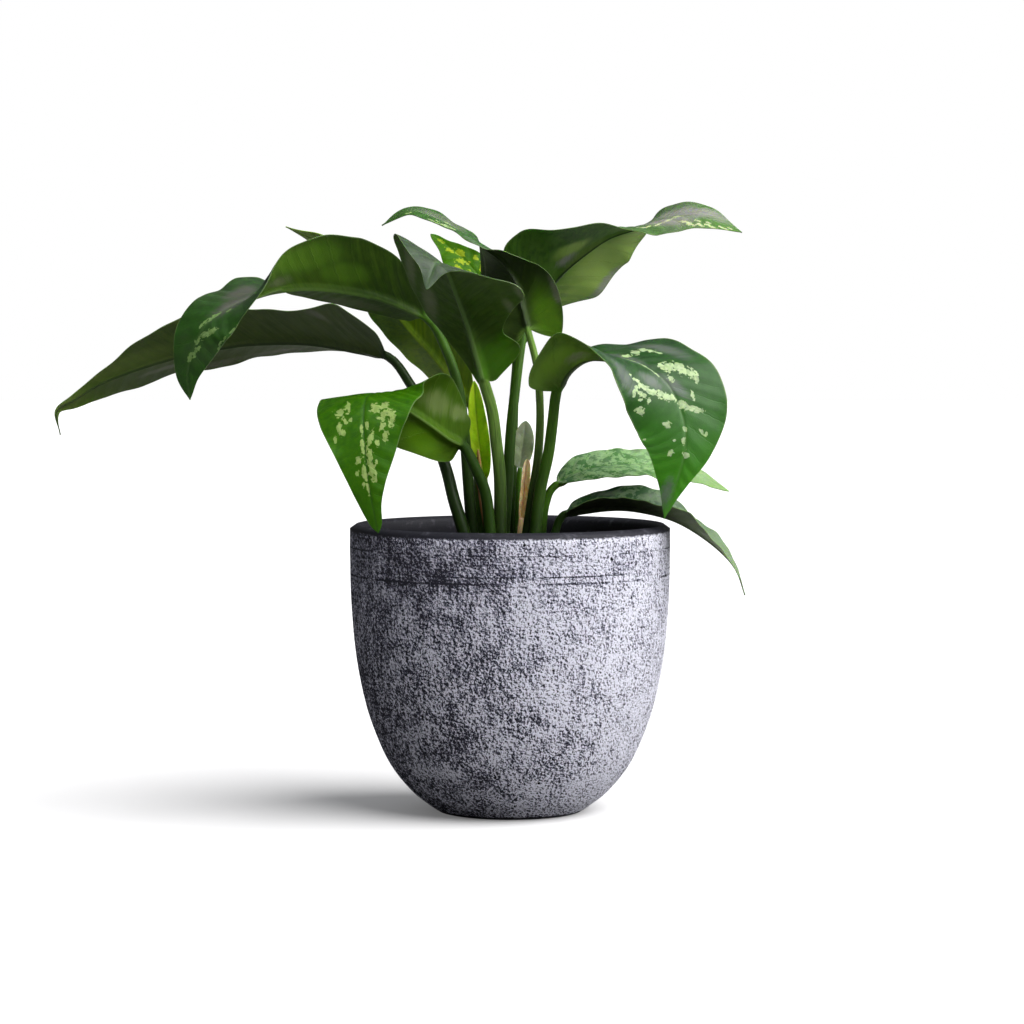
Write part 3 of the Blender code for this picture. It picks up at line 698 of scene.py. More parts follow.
def bladeRelief(leaf, share, length, across, acrossMm):
    # side veins as a count that rises by one from each to the next, and how high waves, the
    # swelling between veins and the ruffled margin lift the blade
    form = leafForm
    height, waves, phase = leaf["wave"]
    circle = 2 * math.pi
    hand = np.where(across < 0, -1.0, 1.0)
    out = np.abs(across)
    swell = np.sin(math.pi * ramp(share, 1.0))
    wave = height * swell * out ** 2 * np.sin(circle * (waves * share + phase + 0.25 * hand))
    slant = math.tan(math.radians(90 - form["veinAngle"]))
    vein = (share * length - np.abs(acrossMm) * slant * (1 - 0.25 * out)) / form["veinSpacing"]
    vein = vein + form["veinDrift"] * np.sin(0.9 * vein + 2.0 * phase + hand)
    fade = ramp(share, 0.08) * ramp(1 - share, 0.12) * ramp(np.abs(acrossMm), 3.0) * ramp(1 - out, 0.12)
    quilt = -form["quilting"] * fade * np.cos(circle * vein)
    ripple = np.sin(1.9 * waves * circle * share + 3 * phase + 2 * hand)
    ripple = ripple + 0.6 * np.sin(4.3 * waves * circle * share - phase + hand)
    return vein, wave + quilt + form["ruffle"] * ramp(out - 0.6, 0.4) ** 2 * swell * ripple


def leafSkin(leaf, seed):
    # rings of points from the foot to the tip, and what the material needs to know at each
    form = leafForm
    along, base, length, table, tangent, side, face = leafPath(leaf)
    spine = table[:, None, :3]
    share = ((along - base) / length)[:, None]
    radii = [*leaf["thick"], form["bladeThickness"] / 2]
    thick = np.interp(along, [0.0, base, along[-1]], radii)[:, None]
    neck = ramp(share, form["neckShare"])
    neck = neck * neck * (3 - 2 * neck)
    count = 2 * leaf["acrossHalf"] + 1
    across = np.linspace(-1.0, 1.0, count)
    across = np.sign(across) * np.abs(across) ** 1.25
    hand = np.where(across < 0, -1.0, 1.0)
    out = np.abs(across)
    wide = outlineWidth(share, across, leaf)
    acrossMm = wide * across
    vein, relief = bladeRelief(leaf, share, length, across, acrossMm)

    rise = np.radians(np.where(across < 0, table[:, 6:7], table[:, 7:8]))
    curl = math.radians(leaf["curl"]) * out
    reach = wide * out * np.sinc(curl / (2 * math.pi))
    back = leaf["lobe"] * out ** 2 * np.clip(1 - share / form["lobeShare"], 0.0, 1.0) ** 2
    sideways = (reach * np.cos(rise + curl / 2) * hand)[..., None] * side[:, None]
    upward = (reach * np.sin(rise + curl / 2) + relief)[..., None] * face[:, None]
    middle = spine - back[..., None] * tangent[:, None] + sideways + upward
    aslant = (np.sin(rise + curl) * hand)[..., None] * side[:, None]
    normal = np.cos(rise + curl)[..., None] * face[:, None] - aslant
    skin = form["marginThickness"] + (form["bladeThickness"] - form["marginThickness"]) * (1 - out ** 3)
    rib = np.exp(-(acrossMm / (form["ribWidth"] * thick / 2)) ** 2)
    rib = np.maximum(form["ribDepth"] * thick - 0.3, 0.0) * rib
    groove = form["grooveDepth"] * np.exp(-(acrossMm / form["grooveWidth"]) ** 2) * ramp(1 - share, 0.2)
    upper = middle + normal * (skin / 2 - groove)[..., None]
    lower = middle - normal * (skin / 2 + rib)[..., None]

    # the petiole is round, and turns into the flat blade along its neck
    angle = math.pi * (1 - (np.arange(count) + 0.5) / count)
    level = thick[:, :, None] * np.cos(angle)[:, None] * side[:, None]
    tall = thick[:, :, None] * np.sin(angle)[:, None] * face[:, None]
    blend = neck[:, :, None]
    upper = spine + (1 - blend) * (level + tall) + blend * (upper - spine)
    lower = spine + (1 - blend) * (level - tall) + blend * (lower - spine)

    patch, gleam, glow = (spotField(leaf[kind], share, across, wide, length)
                          for kind in ("patches", "gleams", "glows"))
    stalk = np.clip(1 - along / base, 0.0, 1.0)[:, None]
    sides = []
    for isUpper in (1.0, 0.0):
        known = (across, vein, patch, acrossMm, share * length, isUpper,
                 stalk, neck, seed, gleam, share, glow)
        sides.append(np.stack(np.broadcast_arrays(*known), axis=2))
    points = np.concatenate([upper, lower[:, ::-1]], axis=1)
    return points, np.concatenate([sides[0], sides[1][:, ::-1]], axis=1)


def skinFaces(rings, width):
    # each pair of rings is joined all round; the two ends are closed between upper and lower side
    faces = []
    for ring in range(rings - 1):
        for index in range(width):
            first = ring * width + index
            second = ring * width + (index + 1) % width
            faces.append((first, second, second + width, first + width))
    end = (rings - 1) * width
    for index in range(width // 2 - 1):
        mirror = width - 1 - index
        faces.append((index, mirror, mirror - 1, index + 1))
        faces.append((end + index, end + index + 1, end + mirror - 1, end + mirror))
    return faces


leafSkinLook = {
    "Subsurface_Weight": 0.45,
    "Subsurface_Radius": (0.5, 1.0, 0.15),
    "Subsurface_Scale": 0.9 * mm,
}


def leafMaterial(name, look):
    # upper side, lower side and petiole of one leaf, told apart by the fields kept in its mesh
    look = {key: tuple(0.001 * part for part in value) if isinstance(value, tuple) else value
            for key, value in look.items()}
    material, board, shader = newMaterial(name, Specular_IOR_Level=look["shine"], **leafSkinLook)
    across, vein, patch = board.attribute("leafField")
    acrossMm, alongMm, upper = board.attribute("leafPlace")
    stalk, blade, seed = board.attribute("leafPart")
    gleam, share, glow = board.attribute("leafSheen")
    out = abs(across)
    aside = abs(acrossMm)
    place = board.vector(acrossMm, alongMm, seed * 40.0)
    veinwise = board.vector(vein * 5.0, aside * 0.16 + across * 3.0, seed * 9.0)
    cloud = board.noise(place, 0.045, 3.0)
    mottle = board.noise(place, 0.28, 3.0, 0.6)
    ragged = board.noise(place, 0.75, 3.0, 0.65)
    grain = board.noise(place, 2.6, 3.0, 0.65)
    feather = board.noise(veinwise, 1.1, 3.0, 0.6)
    ridge = abs((vein + (mottle - 0.5) * 0.3).maths("FRACT") - 0.5) * 2.0
    line = ridge.step(0.88, 1.0) * aside.step(0.5, 3.0) * cloud.step(0.35, 0.6)
    rib = 1.0 - aside.step(look["rib"] * 0.4, look["rib"] * 1.1)
    margin = out.step(0.965, 0.992)
    tip = share.step(look["tipFrom"], 1.0) * 0.85
    # painted light: a painted grey sheen where the gleams are and in cloudy patches, and painted light
    # shining through where the glows are
    sheenMask = (gleam + (cloud - 0.5) * 0.9 + (feather - 0.5) * 0.9).step(-0.15, 0.75)
    lit = (glow + (cloud - 0.5) * 0.8 + (feather - 0.5) * 0.4).step(-0.2, 0.7)

    # variegation: pale patches with flecks in them, and marbling toward the base
    shards = board.add("ShaderNodeTexVoronoi", {}, {"Vector": place, "Scale": 0.75}, 1)
    shard, crack, _ = board.parts(shards)
    pale = (patch + (shard - 0.5) * 0.75 + (ragged - 0.5) * 1.0 + (grain - 0.5) * 0.3).step(0.10, 0.17)
    marbled = 1.0 - share.step(look["marbleTo"], look["marbleTo"] + 0.25)
    blotch = mottle + feather * 0.35 + shard * 0.06
    blotch = blotch.step(look["speckle"], look["speckle"] + 0.06) * marbled
    fleck = board.blend(crack.step(0.2, 0.9) * 0.30, look["pale"], look["upper"])

    top = board.over(
        board.blend((mottle * 0.6 + feather * 0.4).step(0.36, 0.64), look["upper"], look["deep"]),
        (tip, look["tip"]),
        (cloud.step(0.40, 0.70) * look["bloom"], look["sheen"]),
        (sheenMask * look["gleam"], look["sheen"]),
        (line * look["veins"], look["veinTone"]),
        (pale.most(blotch), fleck),
        (rib * look["ribShow"], look["ribTone"]),
        (margin * 0.6, look["marginTone"]),
    )
    under = board.over(
        board.blend((cloud * 0.5 + feather * 0.5).step(0.38, 0.62), look["under"], look["underDeep"]),
        (tip, look["underTip"]),
        (lit * look["glow"], look["underLit"]),
        (sheenMask * look["gleam"], look["underSheen"]),
        # on the lower side, a dark rib tone is painted shade along the raised midrib and veins; a pale one is
        # the rib's own colour
        (line * look["underVeins"], look["underRib"]),
        (rib * look["underRibShow"], look["underRib"]),
        (margin * 0.5, look["marginTone"]),
    )
    stripes = board.noise(board.vector(across * 6.0, alongMm * 0.05, seed * 9.0), 1.6, 3.0)
    stem = board.over(look["petioleTop"], (stalk.step(0.05, 0.80), look["petioleFoot"]),
                      (stripes.step(0.35, 0.7) * 0.55, look["petioleFoot"]))
    tone = board.blend(blade.step(0.1, 0.9), stem, board.blend(upper, under, top))
    tone = board.over(tone, ((grain - 0.5).step(0.0, 0.3) * 0.18, look["deep"]))
    tone = board.blend(look["level"], black, tone)
    rough = 0.42 + (1.0 - upper) * 0.10 + (grain - 0.5) * 0.18 + (mottle - 0.5) * 0.12
    height = grain * 0.12 - line * 0.12 * upper + line * 0.15 * (1.0 - upper) + feather * 0.10
    feed(board, shader, tone, rough, height, leafForm["bump"])
    return material


def makeLeaf(number, leaf):
    name = leaf["name"]
    points, fields = leafSkin(leaf, number * leafForm["seedStep"])
    mesh = bpy.data.meshes.new(name)
    mesh.from_pydata((points.reshape(-1, 3) * mm).tolist(), [], skinFaces(*points.shape[:2]))
    mesh.polygons.foreach_set("use_smooth", [True] * len(mesh.polygons))
    for index, label in enumerate(("leafField", "leafPlace", "leafPart", "leafSheen")):
        layer = mesh.attributes.new(label, "FLOAT_VECTOR", "POINT")
        values = fields[..., 3 * index:3 * index + 3]
        layer.data.foreach_set("vector", values.astype(np.float32).ravel())
    mesh.set_sharp_from_angle(angle=math.radians(leafForm["sharpAngle"]))
    mesh.materials.append(leafMaterial(name, leaf["look"]))
    finishPiece(newObject(name, mesh), leaf["node"], leaf["slot"])


# Looks. Colours are thousandths; level darkens a whole leaf. The sheen tones are painted sheen, and the lit
# tones are painted light shining through.

green = {
    "level": 0.7, "shine": 0.2, "upper": (22, 95, 10), "deep": (12, 60, 7), "tip": (30, 130, 3),
    "tipFrom": 0.5, "sheen": (130, 150, 120), "bloom": 0.15, "gleam": 0.75, "pale": (360, 500, 200),
    "speckle": 2, "marbleTo": 1, "veins": 0.12, "veinTone": (50, 160, 20), "rib": 0.8, "ribShow": 0.25,
    "ribTone": (90, 180, 50), "marginTone": (160, 240, 90), "under": (92, 165, 16),
    "underDeep": (60, 120, 8), "underTip": (92, 165, 16), "underLit": (130, 260, 10), "glow": 0.8,
    "underSheen": (200, 220, 140), "underVeins": 0.1, "underRib": (22, 45, 8), "underRibShow": 0.8,
    "petioleFoot": (16, 45, 3), "petioleTop": (85, 225, 10),
}
lime = {
    **green, "upper": (225, 400, 10), "deep": (130, 290, 8), "tip": (225, 400, 10),
    "sheen": (300, 420, 30), "veinTone": (350, 500, 30), "under": (230, 400, 8),
    "underTip": (200, 360, 8), "underDeep": (140, 270, 5), "underRib": (280, 420, 40),
    "underRibShow": 0.5, "petioleFoot": (30, 90, 3), "petioleTop": (140, 280, 10),
    "marginTone": (350, 480, 50),
}
straw = {
    **green, "level": 1, "upper": (920, 740, 420), "deep": (700, 440, 160), "tip": (920, 760, 460),
    "sheen": (750, 600, 350), "veinTone": (450, 250, 80), "veins": 0.5, "under": (920, 720, 400),
    "underTip": (920, 740, 440), "underDeep": (700, 440, 160), "underRib": (600, 380, 150),
    "ribTone": (600, 380, 170), "ribShow": 0.5, "petioleFoot": (720, 500, 220),
    "petioleTop": (950, 740, 420), "marginTone": (850, 620, 320),
}

# Leaves. A station of a blade is its place, the way the upper side faces there, and how far each half
# rises in degrees. Margins are a share of the blade and how many times as wide each half is there.
# Patches are pale variegation, gleams a painted grey sheen, glows painted light shining through. Each spot is
# its share of the blade, its place from the midrib (0) to a margin (-1 or 1), its half length and half
# width, and its turn outward in degrees.

plainLeaf = {
    "slot": "green_leaf", "bladeSteps": 150, "acrossHalf": 20, "lobe": 0, "margins": [(0, 1, 1), (1, 1, 1)],
    "patches": [], "gleams": [], "glows": [],
}
thinLeaf = {"bladeSteps": 70, "acrossHalf": 10}

farLeft = {
    "name": "farLeftLeaf", "node": "leaf_far_left",
    "petiole": [
        (-21, -2, 132), (-23, -2, 140), (-28, -1, 156), (-31, 2, 168), (-35, 6, 180), (-42, 13, 198),
        (-51, 25, 214),
    ],
    "blade": [
        (-62, 35, 227, 0, 0.55, 0.83, 8, 33), (-82, 43, 232, 0, 0.55, 0.83, 5, 33),
        (-102, 47, 235, 0, 0.55, 0.83, 5, 26), (-123, 48, 235, 0, 0.55, 0.83, 10, 20),
        (-144, 48, 233, 0, 0.55, 0.83, 14, 18), (-175, 47, 226, -0.1, 0.6, 0.8, 12, 18),
        (-206, 45, 215, -0.2, 0.6, 0.75, 10, 14), (-223, 43, 205, -0.3, 0.6, 0.7, 8, 8),
        (-232, 42, 199, -0.5, 0.6, 0.5, 5, 5), (-230, 40, 187, -1, 0.5, 0, 0, 0),
    ],
    "margins": [
        (0, 1, 1), (0.12, 1.5, 1), (0.25, 1.02, 1), (0.45, 1.08, 1), (0.6, 1.4, 1.25), (0.68, 1.5, 1.8),
        (0.8, 0.95, 2), (1, 0.6, 1.2),
    ],
    "thick": (3.6, 2.2), "half": (28, 0.5, 1.5), "lobe": 6, "curl": -10, "wave": (2.2, 2.5, 0.3),
    "gleams": [(0.19, -0.75, 10, 4, 40), (0.32, 0.75, 14, 4), (0.47, 0.85, 16, 4), (0.62, 0.5, 18, 3)],
    "glows": [(0.72, -0.5, 30, 7), (0.9, 0, 14, 5)],
    "look": {
        **green, "level": 0.66, "under": (85, 135, 22), "underDeep": (55, 100, 14),
        "underLit": (130, 200, 35), "petioleTop": (20, 50, 6),
    },
}

upperLeft = {
    "name": "upperLeftLeaf", "node": "leaf_upper_left",
    "petiole": [(-18, 9, 132), (-19, 8, 140), (-21, 6, 165), (-23, 4, 191), (-26, 4, 213), (-33, 5, 233)],
    "blade": [
        (-42, 4, 247, 0, 0.6, 0.8, 15, 15), (-64, 2, 257, 0, 0.6, 0.8, 15, 15),
        (-84, -6, 261, 0, 0.6, 0.8, 18, 15), (-101, -17, 262, -0.1, 0.55, 0.8, 22, 18),
        (-114, -27, 260, -0.2, 0.15, 0.95, 45, 35), (-123, -35, 257, -0.3, -0.4, 0.85, 50, 30),
        (-131, -42, 254, -0.4, -0.65, 0.7, 20, 15), (-140, -47, 249, -0.4, -0.85, 0.4, 2, 2),
        (-148, -50, 242, -0.4, -0.9, 0.3, 0, 0), (-153, -51, 231, -0.3, -0.95, 0.15, 0, 0),
        (-156, -50, 219, -0.3, -0.95, 0.1, 0, 0), (-155, -48, 207, -0.2, -1, 0, 0, 0),
    ],
    "margins": [
        (0, 1, 1), (0.17, 1.15, 0.75), (0.33, 1.25, 0.55), (0.45, 1.18, 0.55), (0.58, 0.85, 0.75),
        (0.68, 0.65, 0.85), (0.78, 0.95, 1), (1, 1, 1),
    ],
    "thick": (3.2, 2.2), "half": (27, 0.5, 0.9), "curl": -8, "wave": (2, 2, 0.1),
    "patches": [
        (0.735, 0.02, 5, 0.8), (0.765, 0.1, 4, 0.8), (0.775, -0.34, 4.5, 1.6, -25),
        (0.8, -0.2, 3.5, 1.8, -25), (0.82, -0.06, 2.5, 1.5), (0.84, -0.22, 2.2, 1),
        (0.855, -0.12, 3.2, 1.4), (0.877, 0.06, 3, 1.1), (0.73, -0.92, 4, 0.7), (0.77, -0.92, 4, 0.7),
        (0.81, -0.92, 4, 0.6), (0.69, -0.15, 1.5, 0.6),
    ],
    "gleams": [(0.22, 0.75, 20, 5), (0.5, -0.2, 9, 4), (0.6, 0.35, 14, 5), (0.67, 0.05, 18, 4.5)],
    "glows": [(0.44, -0.6, 22, 12), (0.3, -0.3, 16, 8)],
    "look": {
        **green, "level": 0.62, "upper": (20, 85, 5), "deep": (10, 45, 4), "tip": (22, 95, 4),
        "sheen": (105, 100, 85), "pale": (200, 340, 100), "under": (85, 175, 12),
        "underDeep": (45, 110, 6), "underLit": (150, 330, 20), "underSheen": (160, 210, 90),
        "underRib": (150, 270, 60), "underRibShow": 0.6,
    },
}

centre = {
    "name": "centreLeaf", "node": "leaf_centre",
    "petiole": [(-5, -2, 132), (-5, -2, 140), (-5, -2, 166), (-7, -2, 186), (-9, -3, 201)],
    "blade": [
        (-13, -5, 215, 0.1, 0.95, 0.3, 8, 8), (-17, -12, 230, 0.1, 0.92, 0.4, 8, 8),
        (-21, -22, 245, 0.2, 0.8, 0.55, 6, 6), (-26, -34, 259, 0.4, 0.6, 0.7, 4, 8),
        (-31, -46, 271, 0.4, 0.3, 0.85, 2, 17), (-36, -58, 272, 0.2, -0.4, 0.9, 2, 16),
        (-40, -66, 260, -0.1, -0.9, 0.3, 0, 0),
    ],
    "margins": [
        (0, 0.8, 0.5), (0.11, 1.45, 0.42), (0.25, 0.7, 0.56), (0.4, 0.82, 0.73), (0.58, 1.25, 0.9),
        (0.68, 1.18, 1.05), (0.75, 0.95, 1.18), (0.83, 0.5, 0.9), (0.9, 0.3, 0.35), (1, 0.2, 0.2),
    ],
    "thick": (3.4, 2.8), "half": (31.5, 0.8, 0.65), "lobe": 6, "curl": -8, "wave": (2.5, 1.6, 0.4),
    "gleams": [(0.46, 0.74, 14, 5), (0.64, 0.85, 14, 4), (0.61, -0.95, 9, 4), (0.47, -0.85, 9, 4)],
    "glows": [(0.1, -0.55, 15, 14), (0.2, -0.8, 8, 5), (0.05, 0.3, 6, 8)],
    "look": {
        # the upper side's grey-green tones here are painted sheen, a grey sheen at a grazing angle
        **green, "level": 0.68, "upper": (34, 62, 22), "deep": (24, 48, 16), "tip": (30, 66, 24),
        "under": (70, 150, 10), "underTip": (85, 140, 30), "underDeep": (40, 100, 5),
        "underLit": (75, 250, 2), "underSheen": (220, 260, 140), "underRib": (170, 300, 80),
        "underRibShow": 0.65, "rib": 1.3, "petioleTop": (240, 440, 70),
    },
}

top = {
    "name": "topLeaf", "node": "leaf_top",
    "petiole": [
        (8, -2.5, 132), (8.5, -2.5, 140), (11.5, -3, 161), (14, -4, 178), (15, -5, 198), (14, -6, 218),
        (12, -7, 229),
    ],
    "blade": [
        (9, -8, 240, 0.1, 0.97, 0.1, 0, 5), (6, -8, 253, 0.15, 0.95, 0.2, 0, 5),
        (4, -7, 263, 0.2, 0.9, 0.4, -10, 5), (-3, -6, 275, 0.35, 0.6, 0.7, -10, 5),
        (-14, -8, 283, 0.3, 0, 0.95, 5, 5), (-22, -12, 288, 0.2, -0.25, 0.95, 5, 5),
        (-35, -15, 295, 0.1, -0.55, 0.85, 4, 4), (-50, -18, 299, 0, -0.55, 0.85, 4, 4),
        (-63, -20, 292, -0.3, -0.5, 0.8, 0, 0),
    ],
    "margins": [
        (0, 0.8, 0.6), (0.1, 0.8, 0.7), (0.19, 0.75, 0.8), (0.25, 0.65, 0.9), (0.3, 0.5, 1),
        (0.4, 0.35, 1.05), (0.49, 0.3, 0.75), (0.56, 0.25, 0.3), (0.63, 0.5, 0.45), (0.74, 0.75, 0.85),
        (0.87, 0.8, 0.8), (1, 1, 1),
    ],
    "thick": (2.6, 1.7), "half": (26, 0.3, 1.2), "lobe": 14, "curl": -6, "wave": (2, 2, 0),
    "patches": [
        (0.75, -0.75, 3.2, 0.9), (0.7, -0.7, 4.2, 1.1), (0.655, -0.5, 3.4, 1), (0.67, 0, 2.6, 0.8),
        (0.72, -0.35, 1.6, 0.8), (0.86, -0.5, 2, 0.7),
    ],
    "gleams": [(0.17, -0.95, 6, 3), (0.4, 0.75, 7, 1.4, -20), (0.64, 0.4, 12, 5), (0.74, 0.3, 12, 4)],
    "glows": [(0.06, -0.65, 16, 10)],
    "look": {
        **green, "level": 0.58, "upper": (34, 130, 16), "deep": (26, 105, 12), "sheen": (140, 170, 110),
        "under": (45, 90, 8), "underDeep": (30, 65, 5), "underLit": (120, 290, 4), "glow": 0.95,
        "petioleTop": (300, 550, 90),
    },
}

upperRight = {
    "name": "upperRightLeaf", "node": "leaf_upper_right",
    "petiole": [(-3, 6.5, 132), (-3, 6.5, 140), (-1, 6, 166), (0.5, 6, 191), (3, 10, 214), (6, 14, 236)],
    "blade": [
        (9, 18, 250, -0.5, 0.85, 0.2, 45, 0), (17, 19, 260, -0.45, 0.85, 0.3, 30, 2),
        (27, 18, 271, -0.35, 0.7, 0.6, 0, 5), (39, 15, 281, -0.2, 0.3, 0.9, -12, 5),
        (50, 12, 288, -0.15, 0.15, 1, -20, 4), (63, 9, 292, 0, -0.1, 1, -10, 6),
        (78, 6, 296, 0, -0.35, 0.95, 0, 4), (95, 1, 297, 0.1, -0.45, 0.9, 4, 0),
        (115, -6, 289, 0.4, -0.45, 0.8, 0, 0),
    ],
    "margins": [
        (0, 1, 1), (0.1, 1, 1.4), (0.22, 1, 1.35), (0.35, 0.95, 1.25), (0.5, 0.9, 1.1), (0.62, 1.1, 1.1),
        (0.78, 1.15, 1.2), (1, 1, 1),
    ],
    "thick": (3.2, 2.2), "half": (29, 0.42, 0.9), "curl": -6, "wave": (1.2, 2, 0.2),
    "patches": [
        (0.61, 0.58, 6, 1.3, -40), (0.66, 0.4, 5, 1.3, -45), (0.7, 0.18, 5, 1.2, -50), (0.73, 0, 3, 1.1),
        (0.77, 0.45, 3, 1.4, 20), (0.8, 0.62, 4, 2, 30), (0.825, 0.4, 2, 1.2), (0.845, 0.72, 3, 1.5),
        (0.87, 0.45, 2, 1), (0.89, 0.8, 4, 1.3), (0.93, 0.7, 3, 1), (0.955, 0.4, 2, 0.8),
    ],
    "gleams": [(0.25, 0.12, 8, 3), (0.28, -0.95, 20, 4), (0.68, 0.2, 18, 9), (0.8, -0.3, 26, 8)],
    "glows": [(0.36, -0.5, 34, 18), (0.22, -0.7, 18, 13), (0.3, 0.25, 12, 6)],
    "look": {
        **green, "level": 0.76, "upper": (60, 140, 30), "deep": (40, 100, 20), "tip": (80, 200, 30),
        "sheen": (270, 270, 240), "bloom": 0.3, "gleam": 0.85, "pale": (500, 560, 300),
        "under": (85, 200, 16), "underDeep": (35, 110, 6), "underTip": (240, 380, 80),
        "underLit": (400, 580, 130), "glow": 0.95, "underSheen": (340, 360, 300),
        "underRib": (12, 30, 5),
    },
}

behindTop = {
    "name": "behindTopLeaf", "node": "leaf_behind_top", "slot": "yellow_green_leaf",
    "petiole": [(1, 20, 132), (1, 20, 140), (1, 22, 170), (2, 25, 205)],
    "blade": [
        (3, 28, 230, 0.2, -0.9, 0.2, 8, 8), (-4, 36, 247, 0.2, -0.85, 0.4, 8, 8),
        (-13, 46, 264, 0.2, -0.8, 0.5, 8, 8), (-25, 54, 278, 0.2, -0.8, 0.5, 6, 6),
        (-41, 62, 290, 0.2, -0.8, 0.5, 0, 0),
    ],
    "margins": [(0, 1, 1), (0.5, 1, 0.8), (0.75, 0.8, 0.45), (0.9, 0.5, 0.3), (1, 0.5, 0.5)],
    "thick": (3, 2.2), "half": (19, 0.6, 0.7), "curl": 6, "wave": (1.2, 2, 0.3),
    "patches": [
        (0.71, -0.15, 4.2, 2.2, 50), (0.67, -0.5, 2.2, 3.6, 60), (0.77, 0.25, 4.4, 1.7, -20),
        (0.83, -0.2, 3.6, 1.4, 20), (0.6, -0.3, 2, 4.4, 50), (0.6, 0.4, 4, 2.2, 40),
        (0.68, 0.55, 1.8, 1.6), (0.91, 0.1, 2.6, 0.9), (0.53, -0.05, 2.2, 4, 50),
    ],
    "look": {
        **green, "level": 0.62, "shine": 0.06, "upper": (60, 190, 0), "deep": (35, 130, 0),
        "tip": (50, 170, 0), "bloom": 0, "pale": (360, 460, 15), "veinTone": (100, 240, 10),
        "ribTone": (120, 260, 20),
    },
}

right = {
    "name": "rightLeaf", "node": "leaf_right", "bladeSteps": 250, "acrossHalf": 38,
    "petiole": [(12, -9, 132), (12.5, -9, 140), (15, -9, 161), (19, -10, 179), (21, -11, 194)],
    "blade": [
        (23, -12, 210, -0.6, 0.15, 0.75, 20, 45), (27, -15, 220, -0.6, 0.1, 0.75, 20, 45),
        (36, -19, 227, -0.4, 0.1, 0.9, 25, 40), (47, -25, 228, 0, 0, 1, 16, 15),
        (64, -32, 224, 0.15, -0.45, 0.9, 10, 12), (77, -39, 214, 0.25, -0.8, 0.6, 8, 5),
        (84, -44, 198, 0.2, -0.9, 0.35, 2, 0), (85, -46, 183, 0.15, -0.93, 0.25, -2, 0),
        (81, -46, 167, 0.1, -0.95, 0.15, -2, 0), (75, -44, 149, 0, -0.95, 0.1, 0, 0),
    ],
    "margins": [
        (0, 1, 1), (0.1, 0.5, 0.85), (0.16, 0.3, 0.9), (0.21, 0.6, 1), (0.27, 1.1, 1), (0.35, 1.1, 1),
        (0.45, 0.95, 1), (0.55, 1, 1), (0.65, 1.02, 1.08), (0.72, 0.9, 1.22), (0.8, 0.75, 1.22),
        (0.87, 0.6, 1.1), (0.93, 0.5, 1), (1, 0.5, 1),
    ],
    "thick": (3.2, 2.6), "half": (31, 0.45, 1), "lobe": 7, "curl": -8, "wave": (2, 2, 0.3),
    "patches": [
        (0.325, -0.1, 3, 1.5, 40), (0.338, -0.26, 2.6, 3, 60), (0.353, -0.38, 2.2, 2.6, 40),
        (0.373, -0.42, 2.6, 1.6, 20), (0.402, -0.47, 1.5, 0.9, 20), (0.36, 0.01, 10, 0.6),
        (0.43, 0.02, 9, 0.6), (0.448, -0.21, 1.8, 3, 80), (0.462, -0.3, 3.2, 3.4, 60),
        (0.485, -0.42, 2.6, 4.2, 80), (0.512, -0.5, 3.4, 3, 30), (0.536, -0.53, 1.8, 1.6),
        (0.5, -0.13, 1.6, 2.4, 80), (0.44, 0.53, 4, 1, -20), (0.475, 0.48, 5, 1.3, -20),
        (0.503, 0.42, 3, 1.8, -20), (0.517, 0.36, 3, 2, -40), (0.534, 0.27, 3, 2.6, -60),
        (0.562, 0.12, 3.4, 2.3, -50), (0.6, -0.08, 2.8, 2.4, 50), (0.615, -0.22, 4.6, 1.5, 60),
        (0.628, -0.36, 3.2, 1.3, 75), (0.47, 0.63, 1.7, 1.7), (0.484, 0.73, 2.3, 1.2, 30),
        (0.497, 0.61, 1.5, 2.2, 80), (0.516, 0.57, 2, 1.3), (0.522, 0.68, 1.6, 1.3),
        (0.543, 0.53, 1.9, 1.3), (0.573, 0.76, 3.3, 1.9), (0.56, 0.79, 1.4, 2.2),
        (0.654, 0.37, 2, 2.3, 45), (0.722, 0.9, 1.3, 0.9), (0.685, 0.01, 1.1, 1.9, 80),
        (0.691, -0.42, 1.9, 0.9, 30), (0.7, -0.57, 1.1, 0.9), (0.723, 0.04, 2.3, 1.2),
        (0.721, 0.25, 0.8, 0.8), (0.774, 0.35, 2.1, 1.3), (0.767, -0.08, 1.8, 2.1, 45),
        (0.582, -0.33, 0.9, 2.6, 75),
    ],
    "gleams": [
        (0.16, 0.15, 8, 3), (0.33, 0, 16, 5), (0.4, 0.72, 15, 6), (0.4, -0.62, 16, 5),
        (0.52, -0.08, 12, 4, 20), (0.47, 0.25, 9, 4, -20), (0.91, 0.5, 11, 4),
    ],
    "glows": [(0.1, 0.45, 12, 9), (0.16, 0.1, 8, 6)],
    "look": {
        **green, "level": 0.86, "upper": (15, 66, 9), "deep": (9, 42, 7), "tip": (44, 225, 1),
        "tipFrom": 0.36, "sheen": (110, 130, 110), "bloom": 0.1, "pale": (380, 500, 260),
        "under": (150, 280, 35), "underDeep": (100, 200, 18), "underTip": (150, 280, 35),
        "underLit": (260, 480, 40), "underSheen": (320, 360, 220),
    },
}

